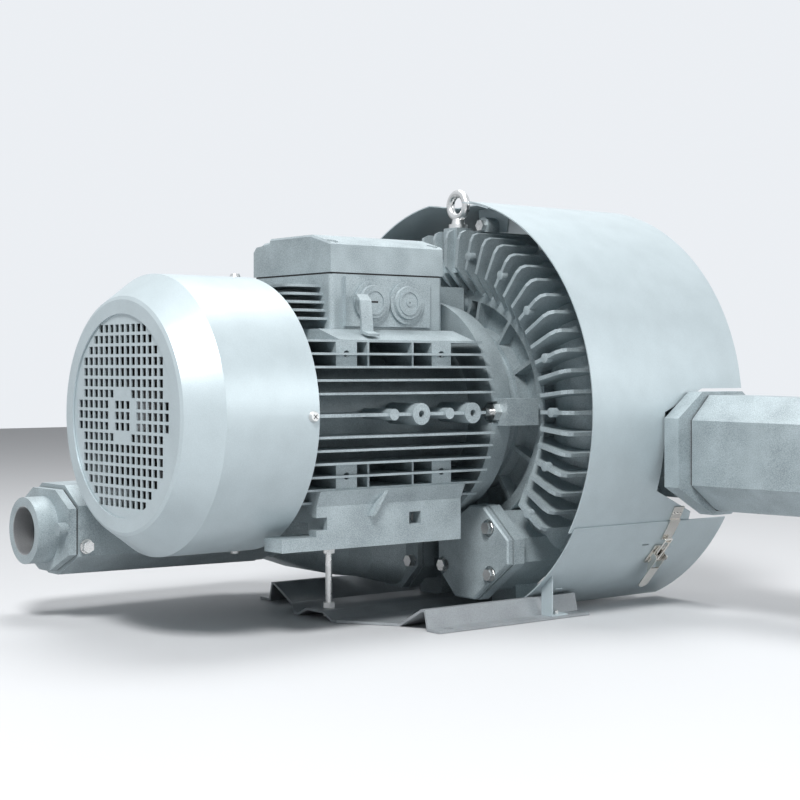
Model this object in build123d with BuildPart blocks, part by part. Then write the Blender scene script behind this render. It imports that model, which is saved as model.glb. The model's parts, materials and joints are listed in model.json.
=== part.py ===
"""Two-stage side channel blower with its fan-cooled motor, silencers and sheet-metal hood.

Frame: +X along the shaft from the motor's fan cowl to the blower, +Y away from the service side,
+Z up. The origin is on the floor, at the centre of the base plate's four anchor holes.
All sizes are in millimetres.
"""

from build123d import *
import math
import os

# ---------------------------------------------------------------- driving dimensions
AXIS_H = 246.0          # shaft height above the floor
SEAT = 0.3              # gap between two separate pieces that sit on one another
RUNNING_FIT = 0.05      # radial clearance of a shaft in its bearing

# stations along the shaft
COWL_FRONT_X = -382.0   # front end of the cowl's cylinder
COWL_L = 118.0
HOUSING_L = 264.0       # motor housing, from the cowl's rear edge to the drive end shield
SHIELD_L = 42.0         # drive end shield, outside its spigot
HUB_GAP = 31.0          # from the shield's face to the casing's hub face
STAGE_X = 115.0         # first impeller's centre plane
STAGE_PITCH = 100.0     # from the first impeller to the second

# motor
COWL_R = 157.0
COWL_T = 2.0
COWL_BEVEL_L = 38.3
COWL_FACE_R = 131.6
GRILLE_R = 118.0
GRILLE_T = 1.8
GRILLE_LIP = 6.0        # width of the cowl's lip in front of the grille
GRILLE_PITCH = 12.0
GRILLE_HOLE = 8.6
GRILLE_REACH = (8, 8, 7, 7, 7, 7, 6, 5, 4)  # widest open column of each row, from the middle
CORE_R = 96.0           # motor housing's drum
CORE_WALL = 8.0
FIN_TIP_R = 150.0
FIN_T = 2.6
FIN_PITCH = 14.7
FIRST_FIN_Z = 24.0
FIN_COUNT = 6
FIN_TAPER = 4.0         # how far the fins stop short of the drive end shield
PAD_T = 29.0
PAD_XS = (-205.5, -68.2)
PAD_HOLE_R = 4.0
WEB_XS = (-175.0, -111.0)
BOSSES = ((-156.0, 6.5), (-117.0, 12.5), (-75.0, 6.5), (-40.0, 12.0))
SADDLE_X = -245.0
SADDLE_L = 208.0
FLANGE_RUN = 46.0       # the foot flanges run on under the cowl
FOOT_HALF = 124.0
WINDOW_XS = (-239.0, -106.0)
GUSSET_X = -174.0
ROTOR_R = 58.0
LUG_X = 10.0
LUG_L = 50.0
LUG_R = 134.0
LUG_W = 32.0
LUG_BOLT_R = 5.0
LUG_SPOT_R = 13.0
MIDDLE_FIN_CUT = 14.0   # the middle fin stops earlier, for the flange bolt's nut
COWL_SCREW_INSET = 8.0
COWL_SCREW_R = 2.5
COWL_SCREW_HEAD_R = 6.5
SHIELD_R = 129.0
SHIELD_ROOT_R = 138.0
SPIGOT_R = 100.0
SHAFT_R = 21.0
BEARING_R = 45.0
BEARING_W = 24.0
FAN_R = 126.0
FAN_BLADES = 9

# terminal box
BOX_L = 166.0
BOX_W = 160.0
BOX_FRONT_X = -194.0
BOX_BASE_Z = 97.0       # above the shaft
BOX_BASE_H = 63.0
BOX_LID_H = 35.0
BOX_WALL = 5.0
LID_CROWN = 10.0
ENTRY_R = 25.0
ENTRY_PITCH = 51.0
ENTRY_SHIFT = -3.0      # the entries' middle, from the box's middle
ENTRY_PANEL_L = 124.0
ENTRY_PANEL_T = 5.0
PLUG_R = 16.0
LID_SCREW_R = 3.0
LID_SCREW_HEAD_R = 5.5
BOX_RIBS = 5
BOX_RIB_PITCH = 9.5
BOX_RIB_L = 56.0
BRACKET_X = -172.0
BRACKET_W = 16.0
BRACKET_T = 3.0
BRACKET_PATH = ((122, 88.4), (108, 92.2), (104, 128), (98, 134), (92, 134))

# blower casing
CHANNEL_R = 183.0       # radius of the ring channel's centre line
CHANNEL_BORE_R = 33.0
CHANNEL_WALL = 6.0
CASING_FINS = 57
CASING_FIN_T = 4.5
CASING_FIN_R = 227.0
CASING_FIN_FRONT = 76.0  # from an impeller's plane to its fins' outer edge
PORT_Y = 85.0           # side offset of the two front ports
PORT_Z = -172.0         # their height from the shaft
PORT_W = 132.0
PORT_H = 116.0
PORT_FACE_X = 24.0
PORT_FLANGE_T = 16.0
PORT_BORE_R = 38.0
PORT_COVER_T = 8.0
GASKET_T = 2.0

SPLIT_FLANGE_R = 224.0
SPLIT_FLANGE_T = 9.0
WEB_T = 7.0
HUB_R = 106.0
HUB_RIBS = 14
SPOKE_START = 0.0
FIN_STOP = 132.0        # no fins below this angle from the top, where the ports are
FOOT_H = 70.0
FOOT_BOLT_L = 22.0

CASING_BOLTS = 9
CASING_BOLT_START = -120.0
CASING_BOLT_STEP = 30.0
CASING_BOLT_LUG_R = 11.0
CASING_BOLT_OUT = 12.0  # bolt circle outside the split flange's edge
CASING_BOLT_R = 4.0
HEX_W = 13.0            # hexagon across flats, M8
HEX_T = 6.5
PORT_BOLTS = ((31, -192), (115, -140), (118, -196))  # sideways and up from the shaft
ELBOW_BOLTS = ((31, -192), (91, -123), (141, -166))
PORT_BOLT_SINK = 3.0    # depth of the spot faces on the cover

# impellers
BLADES = 36
BLADE_W = 34.0
IMPELLER_GAP = 1.0
IMPELLER_HUB_L = 34.0

NOSE_R = 52.0
NOSE_L = 34.0
OUTLET_FIN_LOW = 66.0   # no rear fins between these angles, round the outlet's neck
OUTLET_FIN_HIGH = 130.0

# inlet elbow: station, near side, far side, bottom and top of each section, from the shaft
ELBOW_WALL = 5.0
ELBOW_ROUND = 27.0
ELBOW_BORE_R = 34.0
ELBOW_FLANGE_T = 10.0
ELBOW_RUN = (
    (14, 44, 120, -226, -132), (-20, 72, 160, -216, -154), (-36, 100, 200, -216, -155),
    (-62, 129, 232, -210, -150),
)

# lifting eye
EYE_X = 64.0
EYE_SEAT_Z = 230.0      # above the shaft
EYE_RING_R = 15.3
EYE_WIRE_R = 5.2
EYE_SHANK_R = 5.0
EYE_SHANK_L = 18.0
EYE_COLLAR_R = 12.0
EYE_COLLAR_T = 5.0
EYE_NECK_T = 7.0

# hood
HOOD_R = 264.0
HOOD_T = 1.5
HOOD_FRONT_X = 43.0
HOOD_L = 258.0
HOOD_SEAM = 10.0        # the near sheet's upper edge, degrees from the top
HOOD_LOW = 122.0        # the near sheet's lower edge
HOOD_LAP = 8.0          # how far the far sheet runs under the near one, degrees
HOOD_FAR_LOW = 142.0
APRON_TOP = 120.5
APRON_LOW = 155.5
APRON_SHIFT = 5.0       # apron's front edge behind the hood's
APRON_PROUD = 9.0       # apron's rear edge behind the hood's
APRON_CORNER_R = 22.0
EYE_NOTCH_W = 64.0      # notch in the far sheet, round the lifting eye
EYE_NOTCH_L = 49.0
DUCT_CUT = ((162, 0), (229, 27.6), (318, 27.6), (318, -160), (248, -148), (241, -124), (167, -95))
SLOT_L = 12.0           # hook slots in the apron
SLOT_W = 2.4
APRON_SLOTS = ((70, 150), (92, 144), (186, 128))  # station and angle of each slot
HOOD_BRACKET_T = 2.5
HOOD_BRACKET_HALF = 6.5  # half width of a bracket, degrees
HOOD_BRACKET_FOOT_L = 22.0
APRON_BRACKET_X = 56.0
APRON_BRACKET_W = 26.0
APRON_BRACKET_Y = 172.5
APRON_BRACKET_L = 18.0
APRON_BRACKET_H = 60.0
APRON_SCREW_R = 2.5

# draw latch, measured on its own plane: along the shaft, towards its catch, and out from the apron
LATCH_X = 216.0
LATCH_ANGLE = 131.5
LATCH_PLATE_W = 26.0
LATCH_PLATE_L = 30.0
LATCH_SHEET_T = 1.5
LATCH_PIVOT_H = 8.0
LATCH_PIVOT_R = 2.0
LATCH_EAR_IN = 8.6
LATCH_FLANGE_OUT = 8.0
LATCH_LEVER_T = 1.2
LATCH_LEVER_L = 50.0
LATCH_PIN_FIT = 0.05
BAIL_R = 1.25
BAIL_HALF = 5.0
BAIL_V = -8.0
BAIL_H = 4.4
BAIL_REACH = 28.0
CATCH_HALF = 9.0
CATCH_TONGUE_H = 7.5
CATCH_TONGUE_W = 6.8
CATCH_GAP = 0.9         # from the bail's cross wire to the tongue

# silencers
OUTLET_X = 237.0
OUTLET_Z = -50.0
OUTLET_W = 114.0
OUTLET_H = 140.0
OUTLET_L = 410.0
INLET_Y = 200.0
INLET_Z = -140.0
INLET_W = 136.0
INLET_H = 114.0
INLET_L = 278.0
INLET_FRONT_X = -403.0
OUTLET_FLANGE_T = 22.0
OUTLET_LIP_X = 21.0     # the flange's edge beyond the silencer, along the shaft
OUTLET_LIP_Z = 4.0
OUTLET_GAP = 2.0        # from the hood to the outlet's flange
OUTLET_BORE_R = 30.0
OUTLET_BORE_SHIFT = 10.0
END_FLANGE_T = 10.0
END_INSET_W = 2.0       # the end flange is this much smaller than the silencer's end
END_INSET_H = 10.0
SILENCER_WALL = 4.0
SILENCER_DRAFT = 0.7    # casting draft, degrees
THREAD_R = 28.35        # G2 parallel pipe thread, minor radius
COLLAR_R = 39.5
COLLAR_L = 26.0

# base plate
BASE_W = 364.0
BASE_T = 3.0
BASE_FRONT_X = -117.0
BASE_REAR_X = 118.0
TONGUE_X = -160.0
RIDGE_Y = 152.0
RIDGE_H = 21.0
BEAD_H = 8.0
STUD_X = -139.0
STUD_R = 4.0
ANCHOR_X = 190.0
ANCHOR_Y = 344.0
ANCHOR_R = 5.5
FOOT_X = 96.0           # casing feet
FOOT_Y = 72.0
FOOT_W = 44.0
FOOT_L = 36.0
FOOT_BOLT_R = 5.0

# ---------------------------------------------------------------- derived stations
housing_x0 = COWL_FRONT_X + COWL_L
housing_x1 = housing_x0 + HOUSING_L
shield_x1 = housing_x1 + SHIELD_L
hub_x = shield_x1 + HUB_GAP
stage2_x = STAGE_X + STAGE_PITCH
hood_x1 = HOOD_FRONT_X + HOOD_L
fin_front_x = STAGE_X - CASING_FIN_FRONT
fin_rear_x = stage2_x + CASING_FIN_FRONT
lid_top = BOX_BASE_Z + SEAT + BOX_BASE_H + GASKET_T + BOX_LID_H
channel_out = CHANNEL_BORE_R + CHANNEL_WALL

bolt_circle_r = SPLIT_FLANGE_R + CASING_BOLT_OUT
shaft_end_x = stage2_x + IMPELLER_HUB_L / 2 + 16
outlet_face_y = HOOD_R + OUTLET_GAP
blade_in = CHANNEL_R - CHANNEL_BORE_R + 4
blade_out = CHANNEL_R + CHANNEL_BORE_R - 9

SHAFT_AXIS = Axis((0, 0, AXIS_H), (1, 0, 0))
RADIAL = Plane(origin=(0, 0, AXIS_H), x_dir=(1, 0, 0), z_dir=(0, -1, 0))


def across(x):
    """Plane square to the shaft at station x; its own axes are +Y and +Z, from the shaft."""
    return Plane(origin=(x, 0, AXIS_H), x_dir=(0, 1, 0), z_dir=(1, 0, 0))


def at_angle(angle, radius):
    """(y, z) from the shaft, with the angle counted from the top towards the service side."""
    turn = math.radians(angle)
    return (-radius * math.sin(turn), radius * math.cos(turn))


def tube(x0, x1, outer, inner):
    """Round tube, or a disc with a hole, about the shaft."""
    with BuildPart() as piece:
        with BuildSketch(across(x0)):
            Circle(outer)
            Circle(inner, mode=Mode.SUBTRACT)
        extrude(amount=x1 - x0)
    return piece.part


def hex_bolt(plane, width, head, radius, length):
    """Hexagon bolt whose head stands on the plane and whose shank goes down into it."""
    with BuildPart() as piece:
        with BuildSketch(plane):
            RegularPolygon(radius=width / 2, side_count=6, major_radius=False)
        extrude(amount=head)
        with BuildSketch(plane):
            Circle(radius)
        extrude(amount=-length)
    return piece.part


def rounded_shell(x0, x1, outer, low, high, thickness):
    """Sheet rolled about the shaft, between two angles counted from the top."""
    inner = outer - thickness
    middle = (low + high) / 2
    with BuildPart() as sheet:
        with BuildSketch(across(x0)):
            with BuildLine():
                ThreePointArc(at_angle(low, outer), at_angle(middle, outer), at_angle(high, outer))
                Line(at_angle(high, outer), at_angle(high, inner))
                ThreePointArc(at_angle(high, inner), at_angle(middle, inner), at_angle(low, inner))
                Line(at_angle(low, inner), at_angle(low, outer))
            make_face()
        extrude(amount=x1 - x0)
    return sheet.part


def rod(points, radius):
    """Bent wire through the points, with ball corners."""
    with BuildPart() as wire:
        for start, end in zip(points, points[1:]):
            run = Vector(*end) - Vector(*start)
            with BuildSketch(Plane(origin=start, z_dir=run)):
                Circle(radius)
            extrude(amount=run.length)
        with Locations(*points[1:-1]):
            Sphere(radius)
    return wire.part


def save(piece, label):
    """Give a finished piece its label and write it under the same name."""
    piece.label = label
    export_step(piece, "parts/" + label + ".step")


def grille_open(column, row):
    """True where the grille has a square hole; a blank frame stands round the middle nine."""
    if abs(column) > GRILLE_REACH[abs(row)]:
        return False
    ring_of_nine = max(abs(column), abs(row))
    return ring_of_nine != 2 or (abs(column) == 2 and abs(row) == 2)


os.makedirs("parts", exist_ok=True)

# ---------------------------------------------------------------- base plate
def base_profile(side):
    """Half of the pressed section's lower face, from the anchor flange to the middle bead."""
    return [
        (side * BASE_W / 2, 0),
        (side * (RIDGE_Y + 7), 0),
        (side * (RIDGE_Y + 2), RIDGE_H),
        (side * (RIDGE_Y - 2), RIDGE_H),
        (side * (RIDGE_Y - 42), 0),
        (side * 34, 0),
        (side * 16, BEAD_H),
    ]


with BuildPart() as base_plate:
    with BuildSketch(Plane.YZ.offset(TONGUE_X)):
        with BuildLine():
            Polyline(*base_profile(-1), *reversed(base_profile(1)))
            offset(amount=BASE_T, side=Side.LEFT, kind=Kind.INTERSECTION)
        make_face()
    extrude(amount=BASE_REAR_X - TONGUE_X)
    with BuildSketch():
        with BuildLine():
            Polyline(
                (TONGUE_X, -45), (BASE_FRONT_X, -110), (BASE_FRONT_X, -BASE_W / 2),
                (BASE_REAR_X, -BASE_W / 2), (BASE_REAR_X, BASE_W / 2), (BASE_FRONT_X, BASE_W / 2),
                (BASE_FRONT_X, 110), (TONGUE_X, 45), close=True,
            )
        make_face()
    extrude(amount=RIDGE_H + 2 * BASE_T, mode=Mode.INTERSECT)
    with Locations((0, 0, BASE_T)):
        with GridLocations(ANCHOR_X, ANCHOR_Y, 2, 2):
            Hole(ANCHOR_R, depth=2 * BASE_T)
    with Locations((STUD_X, 0, BEAD_H + BASE_T)):
        Hole(STUD_R + 0.5, depth=2 * BASE_T)
    with Locations((FOOT_X, 0, BASE_T)):
        with GridLocations(0, 2 * FOOT_Y, 1, 2):
            Hole(FOOT_BOLT_R + 0.5, depth=2 * BASE_T)
    with Locations((APRON_BRACKET_X + APRON_BRACKET_W / 2, -APRON_BRACKET_Y, BASE_T)):
        Hole(APRON_SCREW_R + SEAT, depth=2 * BASE_T)
save(base_plate.part, "base_plate")

# ---------------------------------------------------------------- motor housing
fin_heights = [FIRST_FIN_Z + n * FIN_PITCH for n in range(FIN_COUNT)]
fin_end_x = housing_x1 - FIN_TAPER


def fin_reach(height):
    """How far a level cooling fin reaches from the shaft's vertical plane."""
    return math.sqrt(FIN_TIP_R**2 - height**2)


with BuildPart() as motor_housing:
    with BuildSketch(across(housing_x0)):
        Circle(CORE_R)
        Circle(CORE_R - CORE_WALL, mode=Mode.SUBTRACT)
    extrude(amount=HOUSING_L)
    with BuildSketch(across(housing_x0)):
        for height in fin_heights[:-1] + [-height for height in fin_heights]:
            with Locations((0, height)):
                Rectangle(2 * fin_reach(height), FIN_T)
        Circle(CORE_R - 1, mode=Mode.SUBTRACT)
    extrude(amount=fin_end_x - housing_x0)
    with BuildSketch(across(housing_x0)):
        Rectangle(2 * fin_reach(0) - 4, FIN_T + 1)
        Circle(CORE_R - 1, mode=Mode.SUBTRACT)
    extrude(amount=fin_end_x - MIDDLE_FIN_CUT - housing_x0)
    # square pads with tapped holes, joining two fins, and the thin webs between them
    with BuildSketch(across(housing_x0), mode=Mode.PRIVATE) as pad_section:
        for z in (-1, 1):
            with Locations((0, z * (fin_heights[2] + fin_heights[4]) / 2)):
                Rectangle(2 * fin_reach(fin_heights[4]) + 2, fin_heights[4] - fin_heights[2] - FIN_T)
        Circle(CORE_R - 1, mode=Mode.SUBTRACT)
    for x in PAD_XS:
        extrude(pad_section.sketch.moved(Location((x - PAD_T / 2 - housing_x0, 0, 0))), amount=PAD_T)
    for x in WEB_XS:
        extrude(pad_section.sketch.moved(Location((x - FIN_T / 2 - housing_x0, 0, 0))), amount=FIN_T)
    # round and square bosses on the middle fin
    for x, radius in BOSSES:
        with BuildSketch(Plane.XZ.offset(-fin_reach(0))):
            with Locations((x, AXIS_H)):
                Circle(radius)
        extrude(amount=2 * fin_reach(0))
    # seat of the terminal box
    with BuildSketch(across(BOX_FRONT_X - 20)):
        with BuildLine():
            Polyline(
                (-fin_reach(fin_heights[4]), fin_heights[4] - FIN_T / 2),
                (-fin_reach(fin_heights[4]), fin_heights[4] + FIN_T / 2),
                (-BOX_W / 2 - 4, BOX_BASE_Z), (BOX_W / 2 + 4, BOX_BASE_Z),
                (fin_reach(fin_heights[4]), fin_heights[4] + FIN_T / 2),
                (fin_reach(fin_heights[4]), fin_heights[4] - FIN_T / 2), close=True,
            )
        make_face()
    extrude(amount=BOX_L + 32)
    # saddle under the drum, with its two long foot flanges
    with BuildSketch(across(SADDLE_X)):
        with BuildLine():
            Polyline(
                (-FOOT_HALF - 8, -84), (-FOOT_HALF, -101), (-FOOT_HALF, -134), (FOOT_HALF, -134),
                (FOOT_HALF, -101), (FOOT_HALF + 8, -84), close=True,
            )
        make_face()
        with Locations((0, -134)):
            Rectangle(2 * FOOT_HALF - 28, 60, mode=Mode.SUBTRACT)
    extrude(amount=SADDLE_L)
    with BuildSketch(across(SADDLE_X - FLANGE_RUN)):
        for side in (-1, 1):
            with Locations((side * (FOOT_HALF - 17), -141.5)):
                Rectangle(34, 15)
    extrude(amount=SADDLE_L + FLANGE_RUN)
    with BuildSketch(across(STUD_X - 19)):
        with Locations((0, -123)):
            Rectangle(2 * FOOT_HALF - 20, 22)
        with Locations((0, -138)):
            Rectangle(34, 50)
    extrude(amount=38)
    # windows through the saddle's walls
    with BuildSketch(Plane.XZ.offset(-FIN_TIP_R)):
        with Locations(*[(x, AXIS_H - 120) for x in WINDOW_XS]):
            Rectangle(17, 14)
    extrude(amount=2 * FIN_TIP_R, mode=Mode.SUBTRACT)
    # slanted gusset on each flank
    for side in (-1, 1):
        with BuildSketch(Plane.XZ.offset(side * (FOOT_HALF - 1))):
            with BuildLine():
                Polyline((GUSSET_X, AXIS_H - 114), (GUSSET_X + 5, AXIS_H - 114),
                         (GUSSET_X + 25, AXIS_H - 85), (GUSSET_X + 20, AXIS_H - 85), close=True)
            make_face()
        extrude(amount=side * 8)
    # clear the bore, then drill the pads and bosses
    with BuildSketch(across(housing_x0)):
        Circle(CORE_R - CORE_WALL)
    extrude(amount=HOUSING_L, mode=Mode.SUBTRACT)
    pad_z = (fin_heights[2] + fin_heights[4]) / 2
    pad_face = fin_reach(fin_heights[4]) + 1
    for side in (-1, 1):
        with BuildSketch(Plane.XZ.offset(side * (pad_face + 1))):
            with Locations(*[(x, AXIS_H + z) for x in PAD_XS for z in (-pad_z, pad_z)]):
                Circle(PAD_HOLE_R)
        extrude(amount=-side * 16, mode=Mode.SUBTRACT)
        with BuildSketch(Plane.XZ.offset(side * (fin_reach(0) + 1))):
            with Locations(*[(x, AXIS_H) for x, radius in BOSSES if radius > 10]):
                Circle(PAD_HOLE_R)
        extrude(amount=-side * 16, mode=Mode.SUBTRACT)
    # tapped hole for the support stud
    with BuildSketch(Plane.XY.offset(AXIS_H - 163)):
        with Locations((STUD_X, 0)):
            Circle(STUD_R + SEAT)
    extrude(amount=22, mode=Mode.SUBTRACT)
save(motor_housing.part, "motor_housing")

# ---------------------------------------------------------------- end shields and bearings
with BuildPart() as drive_end_shield:
    with BuildSketch(RADIAL):
        with BuildLine():
            Polyline(
                (housing_x1, CORE_R - CORE_WALL + 1), (housing_x1, SHIELD_ROOT_R),
                (housing_x1 + 8, SHIELD_ROOT_R - 1), (shield_x1 - 6, SHIELD_R + 2),
                (shield_x1, SHIELD_R - 4), (shield_x1, SPIGOT_R), (hub_x, SPIGOT_R),
                (hub_x, BEARING_R), (shield_x1 - 4, BEARING_R), (shield_x1 - 4, SHAFT_R + 2),
                (shield_x1 - 12, SHAFT_R + 2), (shield_x1 - 12, BEARING_R),
                (shield_x1 - 12 - BEARING_W, BEARING_R), (shield_x1 - 12 - BEARING_W, BEARING_R + 9),
                (housing_x1 + 22, CORE_R - CORE_WALL + 1), close=True,
            )
        make_face()
    revolve(axis=SHAFT_AXIS)
    # four lugs for the bolts that hold the motor to the blower
    with BuildSketch(across(LUG_X)):
        with PolarLocations(LUG_R, 4):
            Rectangle(40, LUG_W)
    extrude(amount=LUG_L)
    with BuildSketch(across(LUG_X + LUG_L)):
        with PolarLocations(LUG_R, 4):
            Circle(LUG_W / 2 - 5)
    extrude(amount=hub_x - LUG_X - LUG_L)
    with BuildSketch(across(LUG_X)):
        with PolarLocations(LUG_R, 4):
            Circle(LUG_BOLT_R + SEAT)
    extrude(amount=hub_x - LUG_X, mode=Mode.SUBTRACT)
    with BuildSketch(across(housing_x1 - 1)):
        with PolarLocations(LUG_R, 4):
            Circle(LUG_SPOT_R)
    extrude(amount=LUG_X - housing_x1 + 1, mode=Mode.SUBTRACT)
save(drive_end_shield.part, "drive_end_shield")

with BuildPart() as fan_end_shield:
    with BuildSketch(RADIAL):
        with BuildLine():
            Polyline(
                (housing_x0, CORE_R - CORE_WALL), (housing_x0, FIN_TIP_R - 4),
                (housing_x0 - 7, FIN_TIP_R - 4), (housing_x0 - 10, CORE_R),
                (housing_x0 - 26, CORE_R - 14), (housing_x0 - 34, BEARING_R + 9),
                (housing_x0 - 34, SHAFT_R + 2), (housing_x0 - 28, SHAFT_R + 2),
                (housing_x0 - 28, BEARING_R), (housing_x0 - 28 + BEARING_W, BEARING_R),
                (housing_x0 - 28 + BEARING_W, BEARING_R + 9), (housing_x0 - 18, CORE_R - 22), close=True,
            )
        make_face()
    revolve(axis=SHAFT_AXIS)
    with BuildSketch(across(housing_x0 - COWL_SCREW_INSET - 8)):
        with PolarLocations((FIN_TIP_R - 10 + COWL_R - COWL_T) / 2, 4):
            Rectangle(COWL_R - COWL_T - FIN_TIP_R + 10 - 2 * SEAT, 18)
    extrude(amount=16)
save(fan_end_shield.part, "fan_end_shield")

save(tube(shield_x1 - 12 - BEARING_W, shield_x1 - 12, BEARING_R, SHAFT_R + RUNNING_FIT),
     "bearing_drive_end")
save(tube(housing_x0 - 28, housing_x0 - 28 + BEARING_W, BEARING_R, SHAFT_R + RUNNING_FIT),
     "bearing_fan_end")

with BuildPart() as flange_bolts:
    for turn in range(4):
        y, z = at_angle(90 * turn, LUG_R)
        seat = Plane(origin=(LUG_X, y, AXIS_H + z), x_dir=(0, 1, 0), z_dir=(-1, 0, 0))
        add(hex_bolt(seat, 19, 10, LUG_BOLT_R, hub_x + 14 - LUG_X))
        with BuildSketch(seat.offset(10)):
            Circle(LUG_BOLT_R)
        extrude(amount=9)
save(flange_bolts.part, "flange_bolts")

# ---------------------------------------------------------------- stator
save(tube(housing_x0 + 60, housing_x1 - 50, CORE_R - CORE_WALL, ROTOR_R + 0.6), "stator_core")

with BuildPart() as stator_windings:
    for x, run in ((housing_x0 + 28, 32), (housing_x1 - 50, 30)):
        with BuildSketch(across(x)):
            Circle(CORE_R - CORE_WALL - 10)
            Circle(ROTOR_R + 5, mode=Mode.SUBTRACT)
        extrude(amount=run)
save(stator_windings.part, "stator_windings")

# ---------------------------------------------------------------- fan cowl and grille
cowl_face_x = COWL_FRONT_X - COWL_BEVEL_L
lip_r = GRILLE_R - GRILLE_LIP
with BuildPart() as fan_cowl:
    with BuildSketch(RADIAL):
        with BuildLine():
            Polyline(
                (housing_x0, COWL_R), (COWL_FRONT_X, COWL_R), (cowl_face_x + 2, COWL_FACE_R),
                (cowl_face_x, COWL_FACE_R - 4), (cowl_face_x, lip_r), (cowl_face_x + COWL_T, lip_r),
                (cowl_face_x + COWL_T, COWL_FACE_R - 4), (COWL_FRONT_X + 1, COWL_R - COWL_T),
                (housing_x0, COWL_R - COWL_T), close=True,
            )
        make_face()
    revolve(axis=SHAFT_AXIS)
    for turn in range(4):
        facing = Plane(origin=(0, 0, AXIS_H), x_dir=(1, 0, 0), z_dir=(0, *at_angle(90 * turn, 1)))
        with BuildSketch(facing):
            with Locations((housing_x0 - COWL_SCREW_INSET, 0)):
                Circle(COWL_SCREW_R + SEAT)
        extrude(amount=COWL_R + 1, mode=Mode.SUBTRACT)
save(fan_cowl.part, "fan_cowl")

grille_cells = [(column, row) for row in range(-8, 9) for column in range(-8, 9)
                if grille_open(column, row)]
with BuildPart() as fan_grille:
    with BuildSketch(across(cowl_face_x + COWL_T + SEAT)):
        Circle(GRILLE_R)
        with Locations(*[(GRILLE_PITCH * column, GRILLE_PITCH * row) for column, row in grille_cells]):
            Rectangle(GRILLE_HOLE, GRILLE_HOLE, mode=Mode.SUBTRACT)
    extrude(amount=GRILLE_T)
save(fan_grille.part, "fan_grille")

with BuildPart() as cowl_screws:
    for turn in range(4):
        facing = Plane(origin=(0, 0, AXIS_H), x_dir=(1, 0, 0), z_dir=(0, *at_angle(90 * turn, 1)))
        with BuildSketch(facing.offset(COWL_R + SEAT / 2)):
            with Locations((housing_x0 - COWL_SCREW_INSET, 0)):
                Circle(COWL_SCREW_HEAD_R)
        extrude(amount=3.5, taper=25)
        with BuildSketch(facing.offset(COWL_R + SEAT / 2)):
            with Locations((housing_x0 - COWL_SCREW_INSET, 0)):
                Circle(COWL_SCREW_R)
        extrude(amount=-(COWL_T + SEAT))
save(cowl_screws.part, "cowl_screws")

# ---------------------------------------------------------------- terminal box
box_x1 = BOX_FRONT_X + BOX_L
box_mid_x = (BOX_FRONT_X + box_x1) / 2
box_z0 = AXIS_H + BOX_BASE_Z + SEAT
box_z1 = box_z0 + BOX_BASE_H
lid_z0 = box_z1 + GASKET_T
entry_mid_x = box_mid_x + ENTRY_SHIFT
lid_screw_spots = [(box_mid_x + end * (BOX_L / 2 - 9), side * (BOX_W / 2 - 9))
                   for end in (-1, 1) for side in (-1, 1)]

with BuildPart() as terminal_box_base:
    with BuildSketch(Plane.XY.offset(box_z0)):
        with Locations((box_mid_x, 0)):
            RectangleRounded(BOX_L, BOX_W, 6)
    extrude(amount=BOX_BASE_H)
    # cable entry boss: two round bosses run together on a raised panel
    with BuildSketch(Plane.XZ.offset(BOX_W / 2)):
        with Locations((entry_mid_x, box_z0 + BOX_BASE_H / 2)):
            Rectangle(ENTRY_PANEL_L, BOX_BASE_H - 6)
    extrude(amount=ENTRY_PANEL_T)
    with BuildSketch(Plane.XZ.offset(BOX_W / 2)):
        with Locations((entry_mid_x, box_z0 + BOX_BASE_H / 2)):
            with GridLocations(ENTRY_PITCH, 0, 2, 1):
                Circle(ENTRY_R)
    extrude(amount=ENTRY_PANEL_T + 3)
    # level ribs on the front, above the housing's fins
    for n in range(BOX_RIBS):
        with BuildSketch(Plane.XY.offset(box_z0 + 10 + n * BOX_RIB_PITCH)):
            with Locations((BOX_FRONT_X, 0)):
                RectangleRounded(2 * (BOX_RIB_L - 5 * abs(n - 2)), BOX_W - 14 - 6 * n, 14)
            with Locations((BOX_FRONT_X + 60, 0)):
                Rectangle(120, BOX_W, mode=Mode.SUBTRACT)
        extrude(amount=3)
    with BuildSketch(Plane.XY.offset(box_z0 + BOX_WALL)):
        with Locations((box_mid_x, 0)):
            RectangleRounded(BOX_L - 2 * BOX_WALL, BOX_W - 2 * BOX_WALL, 3)
            with GridLocations(BOX_L - 18, BOX_W - 18, 2, 2):
                Circle(8, mode=Mode.SUBTRACT)
    extrude(amount=BOX_BASE_H, mode=Mode.SUBTRACT)
    with BuildSketch(Plane.XZ.offset(BOX_W / 2 + ENTRY_PANEL_T + 4)):
        with Locations((entry_mid_x, box_z0 + BOX_BASE_H / 2)):
            with GridLocations(ENTRY_PITCH, 0, 2, 1):
                Circle(PLUG_R)
    extrude(amount=-(ENTRY_PANEL_T + BOX_WALL + 5), mode=Mode.SUBTRACT)
    with BuildSketch(Plane.XY.offset(box_z1)):
        with Locations(*lid_screw_spots):
            Circle(LID_SCREW_R)
    extrude(amount=-14, mode=Mode.SUBTRACT)
save(terminal_box_base.part, "terminal_box_base")

with BuildPart() as terminal_box_gasket:
    with BuildSketch(Plane.XY.offset(box_z1)):
        with Locations((box_mid_x, 0)):
            RectangleRounded(BOX_L - 2, BOX_W - 2, 5)
            RectangleRounded(BOX_L - 2 * BOX_WALL, BOX_W - 2 * BOX_WALL, 3, mode=Mode.SUBTRACT)
        with Locations(*lid_screw_spots):
            Circle(LID_SCREW_R + 0.5, mode=Mode.SUBTRACT)
    extrude(amount=GASKET_T)
save(terminal_box_gasket.part, "terminal_box_gasket")

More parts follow.
